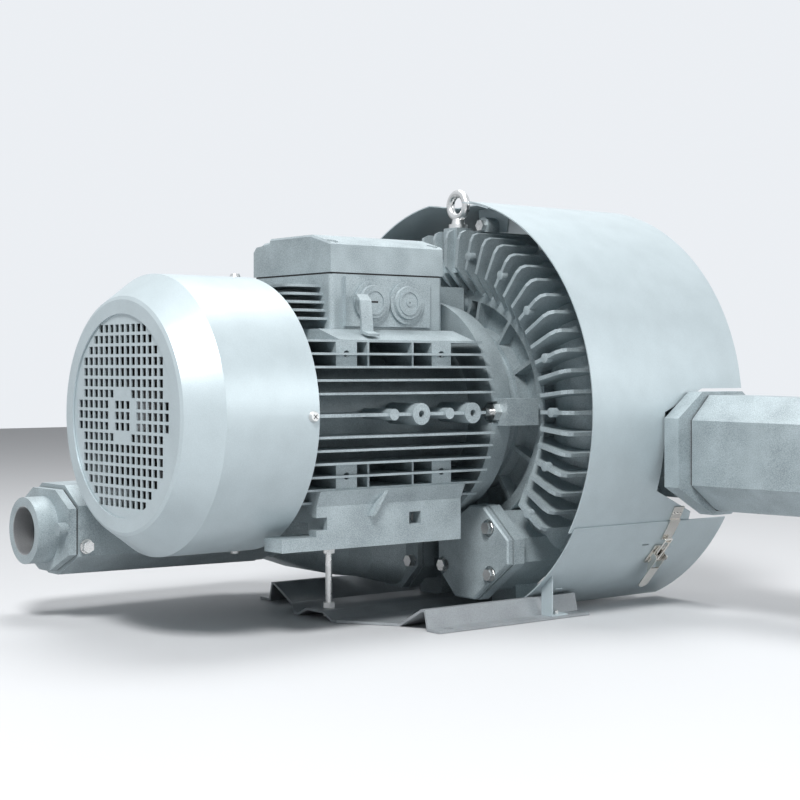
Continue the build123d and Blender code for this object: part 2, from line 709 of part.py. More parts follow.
with BuildPart() as terminal_box_lid:
    with BuildSketch(across(BOX_FRONT_X)):
        with BuildLine():
            Polyline(
                (-BOX_W / 2, lid_z0 - AXIS_H), (-BOX_W / 2, lid_top - 3), (-BOX_W / 2 + 4, lid_top),
                (-BOX_W / 4, lid_top + LID_CROWN), (BOX_W / 4 + 6, lid_top + LID_CROWN),
                (BOX_W / 4 + 7, lid_top + LID_CROWN - 4), (BOX_W / 2 - 20, lid_top + LID_CROWN - 5),
                (BOX_W / 2 - 19, lid_top + 2), (BOX_W / 2 - 6, lid_top + 1), (BOX_W / 2, lid_top - 5),
                (BOX_W / 2, lid_z0 - AXIS_H), close=True,
            )
        make_face()
    extrude(amount=BOX_L)
    chamfer(terminal_box_lid.faces().sort_by(Axis.X)[0].edges().sort_by(Axis.Z)[-4:], 2.5)
    with BuildSketch(Plane.XY.offset(lid_z0)):
        with Locations((box_mid_x, 0)):
            RectangleRounded(BOX_L - 2 * BOX_WALL, BOX_W - 2 * BOX_WALL, 3)
            with GridLocations(BOX_L - 18, BOX_W - 18, 2, 2):
                Circle(8, mode=Mode.SUBTRACT)
    extrude(amount=BOX_LID_H - BOX_WALL - 4, mode=Mode.SUBTRACT)
    with BuildSketch(Plane.XY.offset(AXIS_H + lid_top - 9)):
        with Locations(*lid_screw_spots):
            Circle(LID_SCREW_HEAD_R + 1)
    extrude(amount=30, mode=Mode.SUBTRACT)
    with BuildSketch(Plane.XY.offset(lid_z0)):
        with Locations(*lid_screw_spots):
            Circle(LID_SCREW_R + 0.5)
    extrude(amount=BOX_LID_H, mode=Mode.SUBTRACT)
save(terminal_box_lid.part, "terminal_box_lid")

with BuildPart() as lid_screws:
    with BuildSketch(Plane.XY.offset(AXIS_H + lid_top - 9 + SEAT / 2)):
        with Locations(*lid_screw_spots):
            Circle(LID_SCREW_HEAD_R)
    extrude(amount=5)
    with BuildSketch(Plane.XY.offset(AXIS_H + lid_top - 9 + SEAT / 2)):
        with Locations(*lid_screw_spots):
            Circle(LID_SCREW_R - SEAT / 2)
    extrude(amount=-(AXIS_H + lid_top - 9 - box_z1 + 10))
save(lid_screws.part, "lid_screws")

with BuildPart() as terminal_board:
    with BuildSketch(Plane.XY.offset(box_z0 + BOX_WALL)):
        with Locations((box_mid_x, 20)):
            Rectangle(80, 60)
    extrude(amount=14)
    with BuildSketch(Plane.XY.offset(box_z0 + BOX_WALL + 14)):
        with Locations((box_mid_x, 20)):
            with GridLocations(26, 30, 3, 2):
                Circle(4)
    extrude(amount=16)
save(terminal_board.part, "terminal_board")

with BuildPart() as cable_entry_plugs:
    face = Plane.XZ.offset(BOX_W / 2 + ENTRY_PANEL_T + 3 + SEAT)
    with BuildSketch(face):
        with Locations((entry_mid_x, box_z0 + BOX_BASE_H / 2)):
            with GridLocations(ENTRY_PITCH, 0, 2, 1):
                Circle(PLUG_R + 4)
    extrude(amount=3, taper=20)
    with BuildSketch(face):
        with Locations((entry_mid_x, box_z0 + BOX_BASE_H / 2)):
            with GridLocations(ENTRY_PITCH, 0, 2, 1):
                Circle(PLUG_R - SEAT)
    extrude(amount=-(ENTRY_PANEL_T + BOX_WALL))
save(cable_entry_plugs.part, "cable_entry_plugs")

with BuildPart() as earth_bracket:
    with BuildSketch(across(BRACKET_X)):
        with BuildLine():
            Polyline(*[(-y, z) for y, z in BRACKET_PATH])
            offset(amount=BRACKET_T, side=Side.LEFT, kind=Kind.INTERSECTION)
        make_face()
    extrude(amount=BRACKET_W)
save(earth_bracket.part, "earth_bracket")

# ---------------------------------------------------------------- rotor
fan_x0 = COWL_FRONT_X - 8
with BuildPart() as rotor_shaft:
    with BuildSketch(RADIAL):
        with BuildLine():
            Polyline(
                (fan_x0 - 6, 0), (fan_x0 - 6, SHAFT_R - 2), (housing_x0 - 36, SHAFT_R - 2),
                (housing_x0 - 36, SHAFT_R), (stage2_x + IMPELLER_HUB_L / 2, SHAFT_R),
                (stage2_x + IMPELLER_HUB_L / 2, 12), (shaft_end_x, 12), (shaft_end_x, 0), close=True,
            )
        make_face()
    revolve(axis=SHAFT_AXIS)
save(rotor_shaft.part, "rotor_shaft")

save(tube(housing_x0 + 60, housing_x1 - 50, ROTOR_R, SHAFT_R), "rotor_core")

with BuildPart() as cooling_fan:
    with BuildSketch(RADIAL):
        with BuildLine():
            Polyline(
                (fan_x0, SHAFT_R - 2), (fan_x0, SHAFT_R + 12), (fan_x0 + 30, SHAFT_R + 16),
                (fan_x0 + 34, FAN_R), (fan_x0 + 37, FAN_R), (fan_x0 + 37, SHAFT_R - 2), close=True,
            )
        make_face()
    revolve(axis=SHAFT_AXIS)
    with BuildSketch(across(fan_x0)):
        with PolarLocations((FAN_R + SHAFT_R + 14) / 2, FAN_BLADES):
            Rectangle(FAN_R - SHAFT_R - 14, 3.5)
    extrude(amount=35)
save(cooling_fan.part, "cooling_fan")


def impeller(x):
    """Impeller with a row of blades open to the ring channel on both of its sides."""
    with BuildPart() as wheel:
        with BuildSketch(RADIAL):
            with BuildLine():
                Polyline(
                    (x - IMPELLER_HUB_L / 2, SHAFT_R), (x - IMPELLER_HUB_L / 2, SHAFT_R + 16),
                    (x - 9, SHAFT_R + 20), (x - 9, blade_in - 14), (x - BLADE_W / 2, blade_in - 6),
                    (x - BLADE_W / 2, blade_in), (x - 2, blade_in + 8), (x - 2, blade_out - 1),
                    (x + 2, blade_out - 1), (x + 2, blade_in + 8), (x + BLADE_W / 2, blade_in),
                    (x + BLADE_W / 2, blade_in - 6), (x + 9, blade_in - 14), (x + 9, SHAFT_R + 20),
                    (x + IMPELLER_HUB_L / 2, SHAFT_R + 16), (x + IMPELLER_HUB_L / 2, SHAFT_R), close=True,
                )
            make_face()
        revolve(axis=SHAFT_AXIS)
        with BuildSketch(across(x - BLADE_W / 2)):
            with PolarLocations((blade_in - 3 + blade_out) / 2, BLADES):
                Rectangle(blade_out - blade_in + 3, 4)
        extrude(amount=BLADE_W)
    return wheel.part


save(impeller(STAGE_X), "impeller_front")
save(impeller(stage2_x), "impeller_rear")
save(tube(STAGE_X + IMPELLER_HUB_L / 2, stage2_x - IMPELLER_HUB_L / 2, SHAFT_R + 9, SHAFT_R),
     "impeller_spacer")

with BuildPart() as impeller_nut:
    with BuildSketch(across(stage2_x + IMPELLER_HUB_L / 2)):
        RegularPolygon(radius=18, side_count=6, major_radius=False)
        Circle(12, mode=Mode.SUBTRACT)
    extrude(amount=12)
save(impeller_nut.part, "impeller_nut")

# ---------------------------------------------------------------- blower casing
fin_angles = [360 / CASING_FINS * n + 90 for n in range(CASING_FINS)]


bolt_angles = [CASING_BOLT_START + CASING_BOLT_STEP * n for n in range(CASING_BOLTS)]
rear_bolt_angles = [a for a in bolt_angles if not OUTLET_FIN_LOW < a < OUTLET_FIN_HIGH]


def bolt_spots(angles):
    """Centres of the casing bolts at the angles, on a plane square to the shaft."""
    return [at_angle(angle, bolt_circle_r) for angle in angles]


def bolt_lugs(x, angles):
    """Round lugs on the edge of a split flange, from station x along the shaft."""
    with BuildPart() as lugs:
        with BuildSketch(across(x)):
            with Locations(*bolt_spots(angles)):
                Circle(CASING_BOLT_LUG_R)
            for angle in angles:
                with PolarLocations(bolt_circle_r - CASING_BOLT_LUG_R, 1, start_angle=90 + angle):
                    Rectangle(2 * CASING_BOLT_LUG_R, 2 * CASING_BOLT_LUG_R)
            Circle(SPLIT_FLANGE_R - 1, mode=Mode.SUBTRACT)
        extrude(amount=SPLIT_FLANGE_T)
        with BuildSketch(across(x)):
            with Locations(*bolt_spots(angles)):
                Circle(CASING_BOLT_R + SEAT)
        extrude(amount=SPLIT_FLANGE_T, mode=Mode.SUBTRACT)
    return lugs.part


def casing_fin(tip_x, centre_x):
    """One radial cooling fin, from its outer edge at tip_x back to its channel's middle plane."""
    side = 1 if tip_x > centre_x else -1

    def on_wall(angle):
        turn = math.radians(angle)
        reach = channel_out - CHANNEL_WALL / 2
        return (centre_x + side * reach * math.cos(turn), CHANNEL_R + reach * math.sin(turn))

    with BuildPart() as fin:
        with BuildSketch(RADIAL):
            with BuildLine():
                Polyline(
                    on_wall(-45), (tip_x - side * 36, CHANNEL_R - 38), (tip_x, CHANNEL_R - 3),
                    (tip_x, CASING_FIN_R - 11), (tip_x + side * -3, CASING_FIN_R - 3),
                    (tip_x + side * -10, CASING_FIN_R), (centre_x, CASING_FIN_R), on_wall(90),
                )
                ThreePointArc(on_wall(90), on_wall(20), on_wall(-45))
            make_face()
        extrude(amount=CASING_FIN_T / 2, both=True)
    return fin.part


def fins_round(fin, angles):
    """Copies of a fin drawn at the top, turned about the shaft towards the service side."""
    return [fin.rotate(SHAFT_AXIS, angle) for angle in angles]


def clear_of(angle, low, high):
    """True where an angle from the top is outside the sector from low to high."""
    return not low < angle % 360 < high


def channel_wall(x, from_x, to_x):
    """Wall of one ring channel between two stations, still solid inside."""
    with BuildPart() as wall:
        with BuildSketch(RADIAL):
            with Locations((x, CHANNEL_R)):
                Circle(channel_out)
            with Locations(((from_x + to_x) / 2, CHANNEL_R)):
                Rectangle(to_x - from_x, 2 * channel_out, mode=Mode.INTERSECT)
        revolve(axis=SHAFT_AXIS)
    return wall.part


def channel_bore(x):
    """Space inside one ring channel, with the slot that its impeller runs in."""
    with BuildPart() as space:
        with BuildSketch(RADIAL):
            with Locations((x, CHANNEL_R)):
                Circle(CHANNEL_BORE_R)
            with Locations((x, (CHANNEL_R + SHAFT_R) / 2)):
                Rectangle(BLADE_W + 2 * IMPELLER_GAP, CHANNEL_R - SHAFT_R)
        revolve(axis=SHAFT_AXIS)
    return space.part


def across_ring(x, outer, inner):
    """Flat ring face about the shaft at station x."""
    with BuildSketch(across(x), mode=Mode.PRIVATE) as ring_face:
        Circle(outer)
        if inner:
            Circle(inner, mode=Mode.SUBTRACT)
    return ring_face.sketch


def silencer_outline(width, height, x, y):
    """Octagon of a silencer about (x, y), its lower corners cut off more than its upper ones."""
    half_w = width / 2
    half_h = height / 2
    return [
        (x - half_w, y + half_h - 0.21 * height), (x - half_w + 0.27 * width, y + half_h),
        (x + half_w - 0.27 * width, y + half_h), (x + half_w, y + half_h - 0.21 * height),
        (x + half_w, y - half_h + 0.24 * height), (x + half_w - 0.4 * width, y - half_h),
        (x - half_w + 0.4 * width, y - half_h), (x - half_w, y - half_h + 0.24 * height),
    ]


def port_outline(side, grow=0):
    """Outline of a front port, with its outer lower corner cut off most."""
    half_w = PORT_W / 2 + grow
    half_h = PORT_H / 2 + grow
    y = side * PORT_Y
    return [
        (y - side * half_w, PORT_Z + 22), (y - side * (half_w - 56), PORT_Z + half_h),
        (y + side * (half_w - 44), PORT_Z + half_h), (y + side * half_w, PORT_Z + 20),
        (y + side * half_w, PORT_Z - 9), (y + side * 2, PORT_Z - half_h),
        (y - side * (half_w - 32), PORT_Z - half_h), (y - side * half_w, PORT_Z - half_h + 31),
    ]


with BuildPart() as casing_front:
    # channel wall, bolting flange, web, hub face and its ribs
    add(channel_wall(STAGE_X, STAGE_X - channel_out, STAGE_X))
    with BuildSketch(across(STAGE_X - SPLIT_FLANGE_T)):
        Circle(SPLIT_FLANGE_R)
        Circle(CHANNEL_R, mode=Mode.SUBTRACT)
    extrude(amount=SPLIT_FLANGE_T)
    with BuildSketch(across(STAGE_X - BLADE_W / 2 - IMPELLER_GAP - WEB_T)):
        Circle(CHANNEL_R - CHANNEL_BORE_R + 4)
    extrude(amount=WEB_T)
    with BuildSketch(across(hub_x)):
        Circle(CHANNEL_R - channel_out + 8)
        Circle(CHANNEL_R - channel_out - 5, mode=Mode.SUBTRACT)
        Circle(HUB_R)
        with PolarLocations((HUB_R + CHANNEL_R - channel_out) / 2, HUB_RIBS, start_angle=SPOKE_START):
            Rectangle(CHANNEL_R - channel_out - HUB_R + 6, 5)
        with PolarLocations(LUG_R, 4):
            Circle(LUG_W / 2)
    extrude(amount=STAGE_X - BLADE_W / 2 - IMPELLER_GAP - hub_x - WEB_T / 2)
    # seat of the lifting eye
    with BuildSketch(Plane.XY.offset(AXIS_H + CHANNEL_R - 10)):
        with Locations((EYE_X, 0)):
            Rectangle(26, 26)
    extrude(amount=EYE_SEAT_Z - CHANNEL_R + 10)
    # necks and flanges of the two front ports
    for side in (-1, 1):
        with BuildSketch(across(PORT_FACE_X)):
            with BuildLine():
                Polyline(*port_outline(side), close=True)
            make_face()
        extrude(amount=PORT_FLANGE_T)
        with BuildSketch(across(PORT_FACE_X)):
            with BuildLine():
                Polyline(*port_outline(side, grow=-9), close=True)
            make_face()
        extrude(amount=STAGE_X - PORT_FACE_X)
    # feet
    with BuildSketch(Plane.XY.offset(BASE_T)):
        with Locations((FOOT_X, 0)):
            with GridLocations(0, 2 * FOOT_Y, 1, 2):
                Rectangle(FOOT_L, FOOT_W)
    extrude(amount=FOOT_H)
    add(fins_round(casing_fin(fin_front_x, STAGE_X),
                   [a for a in fin_angles if clear_of(a, FIN_STOP, 360 - FIN_STOP)]))
    add(bolt_lugs(STAGE_X - SPLIT_FLANGE_T, bolt_angles))
    # hollow out, and clear the motor's end shield
    extrude(across_ring(PORT_FACE_X, SHIELD_ROOT_R + 2, 0), amount=shield_x1 + 1 - PORT_FACE_X,
            mode=Mode.SUBTRACT)
    add(channel_bore(STAGE_X), mode=Mode.SUBTRACT)
    with BuildSketch(across(hub_x)):
        Circle(SPIGOT_R - 40)
        with PolarLocations(LUG_R, 4):
            Circle(LUG_BOLT_R + SEAT)
    extrude(amount=14, mode=Mode.SUBTRACT)
    with BuildSketch(across(hub_x)):
        Circle(SHAFT_R + 1)
    extrude(amount=STAGE_X, mode=Mode.SUBTRACT)
    with BuildSketch(across(PORT_FACE_X)):
        with Locations((-PORT_Y, PORT_Z), (PORT_Y, PORT_Z)):
            Circle(PORT_BORE_R)
    extrude(amount=STAGE_X - PORT_FACE_X - 20, mode=Mode.SUBTRACT)
    with BuildSketch(Plane.XY.offset(BASE_T)):
        with Locations((FOOT_X, 0)):
            with GridLocations(0, 2 * FOOT_Y, 1, 2):
                Circle(FOOT_BOLT_R + SEAT)
    extrude(amount=FOOT_BOLT_L, mode=Mode.SUBTRACT)
    with BuildSketch(Plane.XY.offset(AXIS_H + EYE_SEAT_Z)):
        with Locations((EYE_X, 0)):
            Circle(EYE_SHANK_R + SEAT)
    extrude(amount=-EYE_SHANK_L - 2, mode=Mode.SUBTRACT)
save(casing_front.part, "casing_front")

with BuildPart() as middle_fin:
    with BuildSketch(RADIAL):
        with Locations(((STAGE_X + stage2_x) / 2, (CASING_FIN_R + CHANNEL_R + 20) / 2)):
            Rectangle(STAGE_PITCH, CASING_FIN_R - CHANNEL_R - 20)
    extrude(amount=CASING_FIN_T / 2, both=True)

with BuildPart() as casing_middle:
    add(channel_wall(STAGE_X, STAGE_X, STAGE_X + channel_out))
    add(channel_wall(stage2_x, stage2_x - channel_out, stage2_x))
    with BuildSketch(across(STAGE_X)):
        Circle(SPLIT_FLANGE_R)
        Circle(CHANNEL_R, mode=Mode.SUBTRACT)
    extrude(amount=SPLIT_FLANGE_T)
    extrude(across_ring(stage2_x - SPLIT_FLANGE_T, SPLIT_FLANGE_R, CHANNEL_R), amount=SPLIT_FLANGE_T)
    with BuildSketch(across(STAGE_X + BLADE_W / 2 + IMPELLER_GAP)):
        Circle(CHANNEL_R - CHANNEL_BORE_R + 4)
        Circle(SHAFT_R + 10, mode=Mode.SUBTRACT)
    extrude(amount=WEB_T)
    with BuildSketch(across(stage2_x - BLADE_W / 2 - IMPELLER_GAP - WEB_T)):
        Circle(CHANNEL_R - CHANNEL_BORE_R + 4)
        Circle(SHAFT_R + 10, mode=Mode.SUBTRACT)
    extrude(amount=WEB_T)
    with BuildSketch(across(STAGE_X + BLADE_W / 2)):
        Circle(SHAFT_R + 26)
        Circle(SHAFT_R + 10, mode=Mode.SUBTRACT)
    extrude(amount=STAGE_PITCH - BLADE_W)
    add(bolt_lugs(STAGE_X, bolt_angles))
    add(bolt_lugs(stage2_x - SPLIT_FLANGE_T, rear_bolt_angles))
    add(fins_round(middle_fin.part, [a for a in fin_angles if clear_of(a, FIN_STOP, 360 - FIN_STOP)]))
    add(channel_bore(STAGE_X), mode=Mode.SUBTRACT)
    add(channel_bore(stage2_x), mode=Mode.SUBTRACT)
save(casing_middle.part, "casing_middle")

with BuildPart() as casing_rear:
    add(channel_wall(stage2_x, stage2_x, stage2_x + channel_out))
    extrude(across_ring(stage2_x, SPLIT_FLANGE_R, CHANNEL_R), amount=SPLIT_FLANGE_T)
    with BuildSketch(across(stage2_x + BLADE_W / 2 + IMPELLER_GAP)):
        Circle(CHANNEL_R - CHANNEL_BORE_R + 4)
    extrude(amount=WEB_T)
    # nose cap over the shaft's end, with its ribs
    with BuildSketch(across(stage2_x + BLADE_W / 2 + WEB_T)):
        Circle(NOSE_R)
        with PolarLocations((NOSE_R + CHANNEL_R - channel_out) / 2, HUB_RIBS):
            Rectangle(CHANNEL_R - channel_out - NOSE_R + 6, 5)
    extrude(amount=NOSE_L)
    add(fins_round(casing_fin(fin_rear_x, stage2_x),
                   [a for a in fin_angles if clear_of(a, OUTLET_FIN_LOW, OUTLET_FIN_HIGH)]))
    # neck and flange of the outlet, out through the hood on the service side
    with BuildSketch(Plane.XZ.offset(CHANNEL_R - 20)):
        with BuildLine():
            Polyline(*silencer_outline(OUTLET_W - 26, OUTLET_H - 26, OUTLET_X, AXIS_H + OUTLET_Z), close=True)
        make_face()
    extrude(amount=outlet_face_y - CHANNEL_R + 20)
    extrude(across_ring(stage2_x - OUTLET_W / 2, CASING_FIN_R + 2, 0), amount=OUTLET_W / 2,
            mode=Mode.SUBTRACT)
    add(bolt_lugs(stage2_x, rear_bolt_angles))
    add(channel_bore(stage2_x), mode=Mode.SUBTRACT)
    with BuildSketch(across(stage2_x)):
        Circle(SHAFT_R + 12)
    extrude(amount=BLADE_W / 2 + WEB_T + NOSE_L - 6, mode=Mode.SUBTRACT)
    with BuildSketch(Plane.XZ.offset(CHANNEL_R)):
        with Locations((OUTLET_X + OUTLET_BORE_SHIFT, AXIS_H + OUTLET_Z)):
            Circle(OUTLET_BORE_R)
    extrude(amount=outlet_face_y - CHANNEL_R + 1, mode=Mode.SUBTRACT)
save(casing_rear.part, "casing_rear")

# ---------------------------------------------------------------- casing fasteners, feet bolts, lifting eye
bracket_angles = bolt_angles[::2]
with BuildPart() as casing_bolts:
    for joint_x, angles in ((STAGE_X, bolt_angles), (stage2_x, rear_bolt_angles)):
        for angle in angles:
            y, z = at_angle(angle, bolt_circle_r)
            head = Plane(origin=(joint_x - SPLIT_FLANGE_T - SEAT / 2, y, AXIS_H + z),
                         x_dir=(0, 1, 0), z_dir=(-1, 0, 0))
            grip = 2 * SPLIT_FLANGE_T + SEAT
            if joint_x == STAGE_X and angle in bracket_angles:
                grip += HOOD_BRACKET_T + SEAT
            add(hex_bolt(head, HEX_W, HEX_T, CASING_BOLT_R, grip + HEX_T))
            with BuildSketch(head.offset(-grip)):
                RegularPolygon(radius=HEX_W / 2, side_count=6, major_radius=False)
            extrude(amount=-HEX_T)
save(casing_bolts.part, "casing_bolts")

with BuildPart() as foot_bolts:
    for side in (-1, 1):
        with BuildSketch(Plane.XY.offset(SEAT)):
            with Locations((FOOT_X, side * FOOT_Y)):
                Circle(FOOT_BOLT_R)
        extrude(amount=FOOT_BOLT_L)
save(foot_bolts.part, "foot_bolts")

with BuildPart() as lifting_eye:
    eye_z = AXIS_H + EYE_SEAT_Z
    ring_z = eye_z + EYE_COLLAR_T + EYE_NECK_T / 2 + EYE_WIRE_R + EYE_RING_R
    with BuildSketch(Plane(origin=(EYE_X, 0, ring_z), x_dir=(0, 1, 0), z_dir=(0, 0, 1))):
        with Locations((EYE_RING_R, 0)):
            Circle(EYE_WIRE_R)
    revolve(axis=Axis((EYE_X, 0, ring_z), (1, 0, 0)))
    with BuildSketch(Plane.XY.offset(eye_z)):
        with Locations((EYE_X, 0)):
            Circle(EYE_COLLAR_R)
    extrude(amount=EYE_COLLAR_T)
    with BuildSketch(Plane.XY.offset(eye_z + EYE_COLLAR_T)):
        with Locations((EYE_X, 0)):
            Circle(EYE_COLLAR_R - 3)
    extrude(amount=EYE_NECK_T, taper=12)
    with BuildSketch(Plane.XY.offset(eye_z)):
        with Locations((EYE_X, 0)):
            Circle(EYE_SHANK_R)
    extrude(amount=-EYE_SHANK_L)
save(lifting_eye.part, "lifting_eye")

stud_boss_z = AXIS_H - 163
with BuildPart() as support_stud:
    with BuildSketch(Plane.XY.offset(1)):
        with Locations((STUD_X, 0)):
            Circle(STUD_R)
    extrude(amount=stud_boss_z + 18)
    for z in (BEAD_H - HEX_T - SEAT / 2, BEAD_H + BASE_T + SEAT / 2, stud_boss_z - HEX_T - SEAT / 2):
        with BuildSketch(Plane.XY.offset(z)):
            with Locations((STUD_X, 0)):
                RegularPolygon(radius=HEX_W / 2, side_count=6, major_radius=False)
        extrude(amount=HEX_T)
save(support_stud.part, "support_stud")

# ---------------------------------------------------------------- front ports: cover on one, elbow on the other
cover_x = PORT_FACE_X - GASKET_T
port_front_x = cover_x - PORT_COVER_T


def port_plate(side, x, thickness, grow):
    """Plate in a port's outline, cut back round the motor's end shield."""
    with BuildPart() as plate:
        with BuildSketch(across(x)):
            with BuildLine():
                Polyline(*port_outline(side, grow), close=True)
            make_face()
            Circle(SHIELD_ROOT_R + 2, mode=Mode.SUBTRACT)
        extrude(amount=thickness)
    return plate.part


for side, label in ((-1, "port_cover_gasket"), (1, "inlet_elbow_gasket")):
    with BuildPart() as gasket:
        add(port_plate(side, cover_x, GASKET_T, -3))
        with BuildSketch(across(cover_x)):
            with Locations((side * PORT_Y, PORT_Z)):
                Circle(ELBOW_BORE_R + 2)
        extrude(amount=GASKET_T, mode=Mode.SUBTRACT)
    save(gasket.part, label)

with BuildPart() as port_cover:
    add(port_plate(-1, port_front_x, PORT_COVER_T, -1))
    chamfer(port_cover.faces().sort_by(Axis.X)[0].edges(), 2)
    with BuildSketch(across(port_front_x)):
        with Locations(*[(-y, z) for y, z in PORT_BOLTS]):
            Circle(HEX_W / 2 + 4)
    extrude(amount=PORT_BOLT_SINK, mode=Mode.SUBTRACT)
save(port_cover.part, "port_cover")

with BuildPart() as port_bolts:
    for side, depth, spots in ((-1, PORT_BOLT_SINK, PORT_BOLTS), (1, 0, ELBOW_BOLTS)):
        for y, z in spots:
            seat = Plane(origin=(port_front_x + depth - SEAT / 2, side * y, AXIS_H + z),
                         x_dir=(0, 1, 0), z_dir=(-1, 0, 0))
            with BuildSketch(seat):
                Circle(HEX_W / 2 + 1)
            extrude(amount=2)
            with BuildSketch(seat.offset(2)):
                RegularPolygon(radius=HEX_W / 2, side_count=6, major_radius=False)
            extrude(amount=HEX_T)
save(port_bolts.part, "port_bolts")

elbow_x0 = INLET_FRONT_X + INLET_L + 2 * GASKET_T
elbow_sections = [*ELBOW_RUN, (elbow_x0 + ELBOW_FLANGE_T, INLET_Y - INLET_W / 2 + 9, INLET_Y + INLET_W / 2 - 9,
                               INLET_Z - INLET_H / 2 + 6, INLET_Z + INLET_H / 2 - 12)]


def elbow_solid(inset):
    """Elbow's passage as a loft through its sections, each drawn in by the inset."""
    with BuildPart() as passage:
        for x, near, far, low, high in elbow_sections:
            with BuildSketch(across(x)):
                with Locations(((near + far) / 2, (low + high) / 2)):
                    RectangleRounded(far - near - 2 * inset, high - low - 2 * inset, ELBOW_ROUND - inset)
        loft(ruled=True)
    return passage.part


with BuildPart() as inlet_elbow:
    add(port_plate(1, port_front_x, PORT_COVER_T, -1))
    with BuildSketch(across(elbow_x0)):
        with BuildLine():
            Polyline(*silencer_outline(INLET_W - 2, INLET_H - 2, INLET_Y, INLET_Z), close=True)
        make_face()
    extrude(amount=ELBOW_FLANGE_T)
    add(elbow_solid(0))
    add(elbow_solid(ELBOW_WALL), mode=Mode.SUBTRACT)
    with BuildSketch(across(port_front_x)):
        with Locations((PORT_Y, PORT_Z)):
            Circle(ELBOW_BORE_R)
    extrude(amount=PORT_COVER_T, mode=Mode.SUBTRACT)
    with BuildSketch(across(elbow_x0)):
        with Locations((INLET_Y, INLET_Z)):
            Circle(ELBOW_BORE_R)
    extrude(amount=ELBOW_FLANGE_T, mode=Mode.SUBTRACT)
save(inlet_elbow.part, "inlet_elbow")


# ---------------------------------------------------------------- silencers
def silencer(plane, width, height, length, label):
    """Silencer of four pieces on a plane: hollow body, end flange with its pipe thread, two gaskets.

    The plane's normal points from the blower to the open end, and its origin is the flange's middle.
    """
    shrink = 2 * length * math.tan(math.radians(SILENCER_DRAFT))
    end_width = width - shrink - END_INSET_W
    end_height = height - shrink - END_INSET_H
    far = plane.offset(GASKET_T + length)
    with BuildPart() as body:
        for wall, mode, reach in ((0, Mode.ADD, 0), (SILENCER_WALL, Mode.SUBTRACT, SILENCER_WALL)):
            with BuildSketch(plane.offset(GASKET_T + reach)):
                with BuildLine():
                    Polyline(*silencer_outline(width - 2 * wall, height - 2 * wall, 0, 0), close=True)
                make_face()
            with BuildSketch(far.offset(-reach)):
                with BuildLine():
                    Polyline(*silencer_outline(width - shrink - 2 * wall, height - shrink - 2 * wall, 0, 0),
                             close=True)
                make_face()
            loft(mode=mode)
        with BuildSketch(plane.offset(GASKET_T)):
            Circle(ELBOW_BORE_R)
        extrude(amount=SILENCER_WALL, mode=Mode.SUBTRACT)
        with BuildSketch(far):
            Circle(THREAD_R + 4)
        extrude(amount=-SILENCER_WALL, mode=Mode.SUBTRACT)
    save(body.part, label + "_silencer_body")
    with BuildPart() as end:
        with BuildSketch(far.offset(GASKET_T)):
            with BuildLine():
                Polyline(*silencer_outline(end_width, end_height, 0, 0), close=True)
            make_face()
        extrude(amount=END_FLANGE_T)
        with BuildSketch(far.offset(GASKET_T)):
            Circle(COLLAR_R)
        extrude(amount=END_FLANGE_T + COLLAR_L)
        with BuildSketch(far.offset(GASKET_T)):
            Circle(THREAD_R)
        extrude(amount=END_FLANGE_T + COLLAR_L, mode=Mode.SUBTRACT)
    save(end.part, label + "_thread_flange")
    with BuildPart() as seals:
        for sheet, bore, sheet_w, sheet_h in (
            (plane, ELBOW_BORE_R, width - END_INSET_W, height - END_INSET_W),
            (far, THREAD_R + 4, end_width - END_INSET_W, end_height - END_INSET_W),
        ):
            with BuildSketch(sheet):
                with BuildLine():
                    Polyline(*silencer_outline(sheet_w, sheet_h, 0, 0), close=True)
                make_face()
                Circle(bore, mode=Mode.SUBTRACT)
            extrude(amount=GASKET_T)
    save(seals.part, label + "_silencer_gaskets")


inlet_plane = Plane(origin=(elbow_x0, INLET_Y, AXIS_H + INLET_Z), x_dir=(0, -1, 0), z_dir=(-1, 0, 0))
outlet_plane = Plane(origin=(OUTLET_X, -outlet_face_y - OUTLET_FLANGE_T, AXIS_H + OUTLET_Z),
                     x_dir=(1, 0, 0), z_dir=(0, -1, 0))
silencer(inlet_plane, INLET_W, INLET_H, INLET_L, "inlet")
silencer(outlet_plane, OUTLET_W, OUTLET_H, OUTLET_L, "outlet")

with BuildPart() as outlet_flange:
    with BuildSketch(outlet_plane):
        with BuildLine():
            Polyline(*silencer_outline(OUTLET_W + 2 * OUTLET_LIP_X, OUTLET_H + 2 * OUTLET_LIP_Z, 0, 0),
                     close=True)
        make_face()
        Circle(ELBOW_BORE_R, mode=Mode.SUBTRACT)
    extrude(amount=-OUTLET_FLANGE_T)
save(outlet_flange.part, "outlet_flange")

# ---------------------------------------------------------------- hood, apron and their brackets
far_sheet_r = HOOD_R - HOOD_T - SEAT
apron_r = HOOD_R + SEAT + HOOD_T

with BuildPart() as hood_near:
    add(rounded_shell(HOOD_FRONT_X, hood_x1, HOOD_R, HOOD_SEAM, HOOD_LOW, HOOD_T))
    with BuildSketch(Plane.XZ.offset(HOOD_R / 2)):
        with BuildLine():
            Polyline(*[(x, AXIS_H + z) for x, z in DUCT_CUT], close=True)
        make_face()
    extrude(amount=HOOD_R, mode=Mode.SUBTRACT)
save(hood_near.part, "hood_near")

with BuildPart() as hood_far:
    add(rounded_shell(HOOD_FRONT_X, hood_x1, far_sheet_r, HOOD_SEAM + HOOD_LAP, -HOOD_FAR_LOW, HOOD_T))
    with BuildSketch(Plane.XY.offset(AXIS_H + EYE_SEAT_Z)):
        with Locations((HOOD_FRONT_X, 0)):
            Rectangle(2 * EYE_NOTCH_L, EYE_NOTCH_W)
    extrude(amount=HOOD_R - EYE_SEAT_Z, mode=Mode.SUBTRACT)
save(hood_far.part, "hood_far")

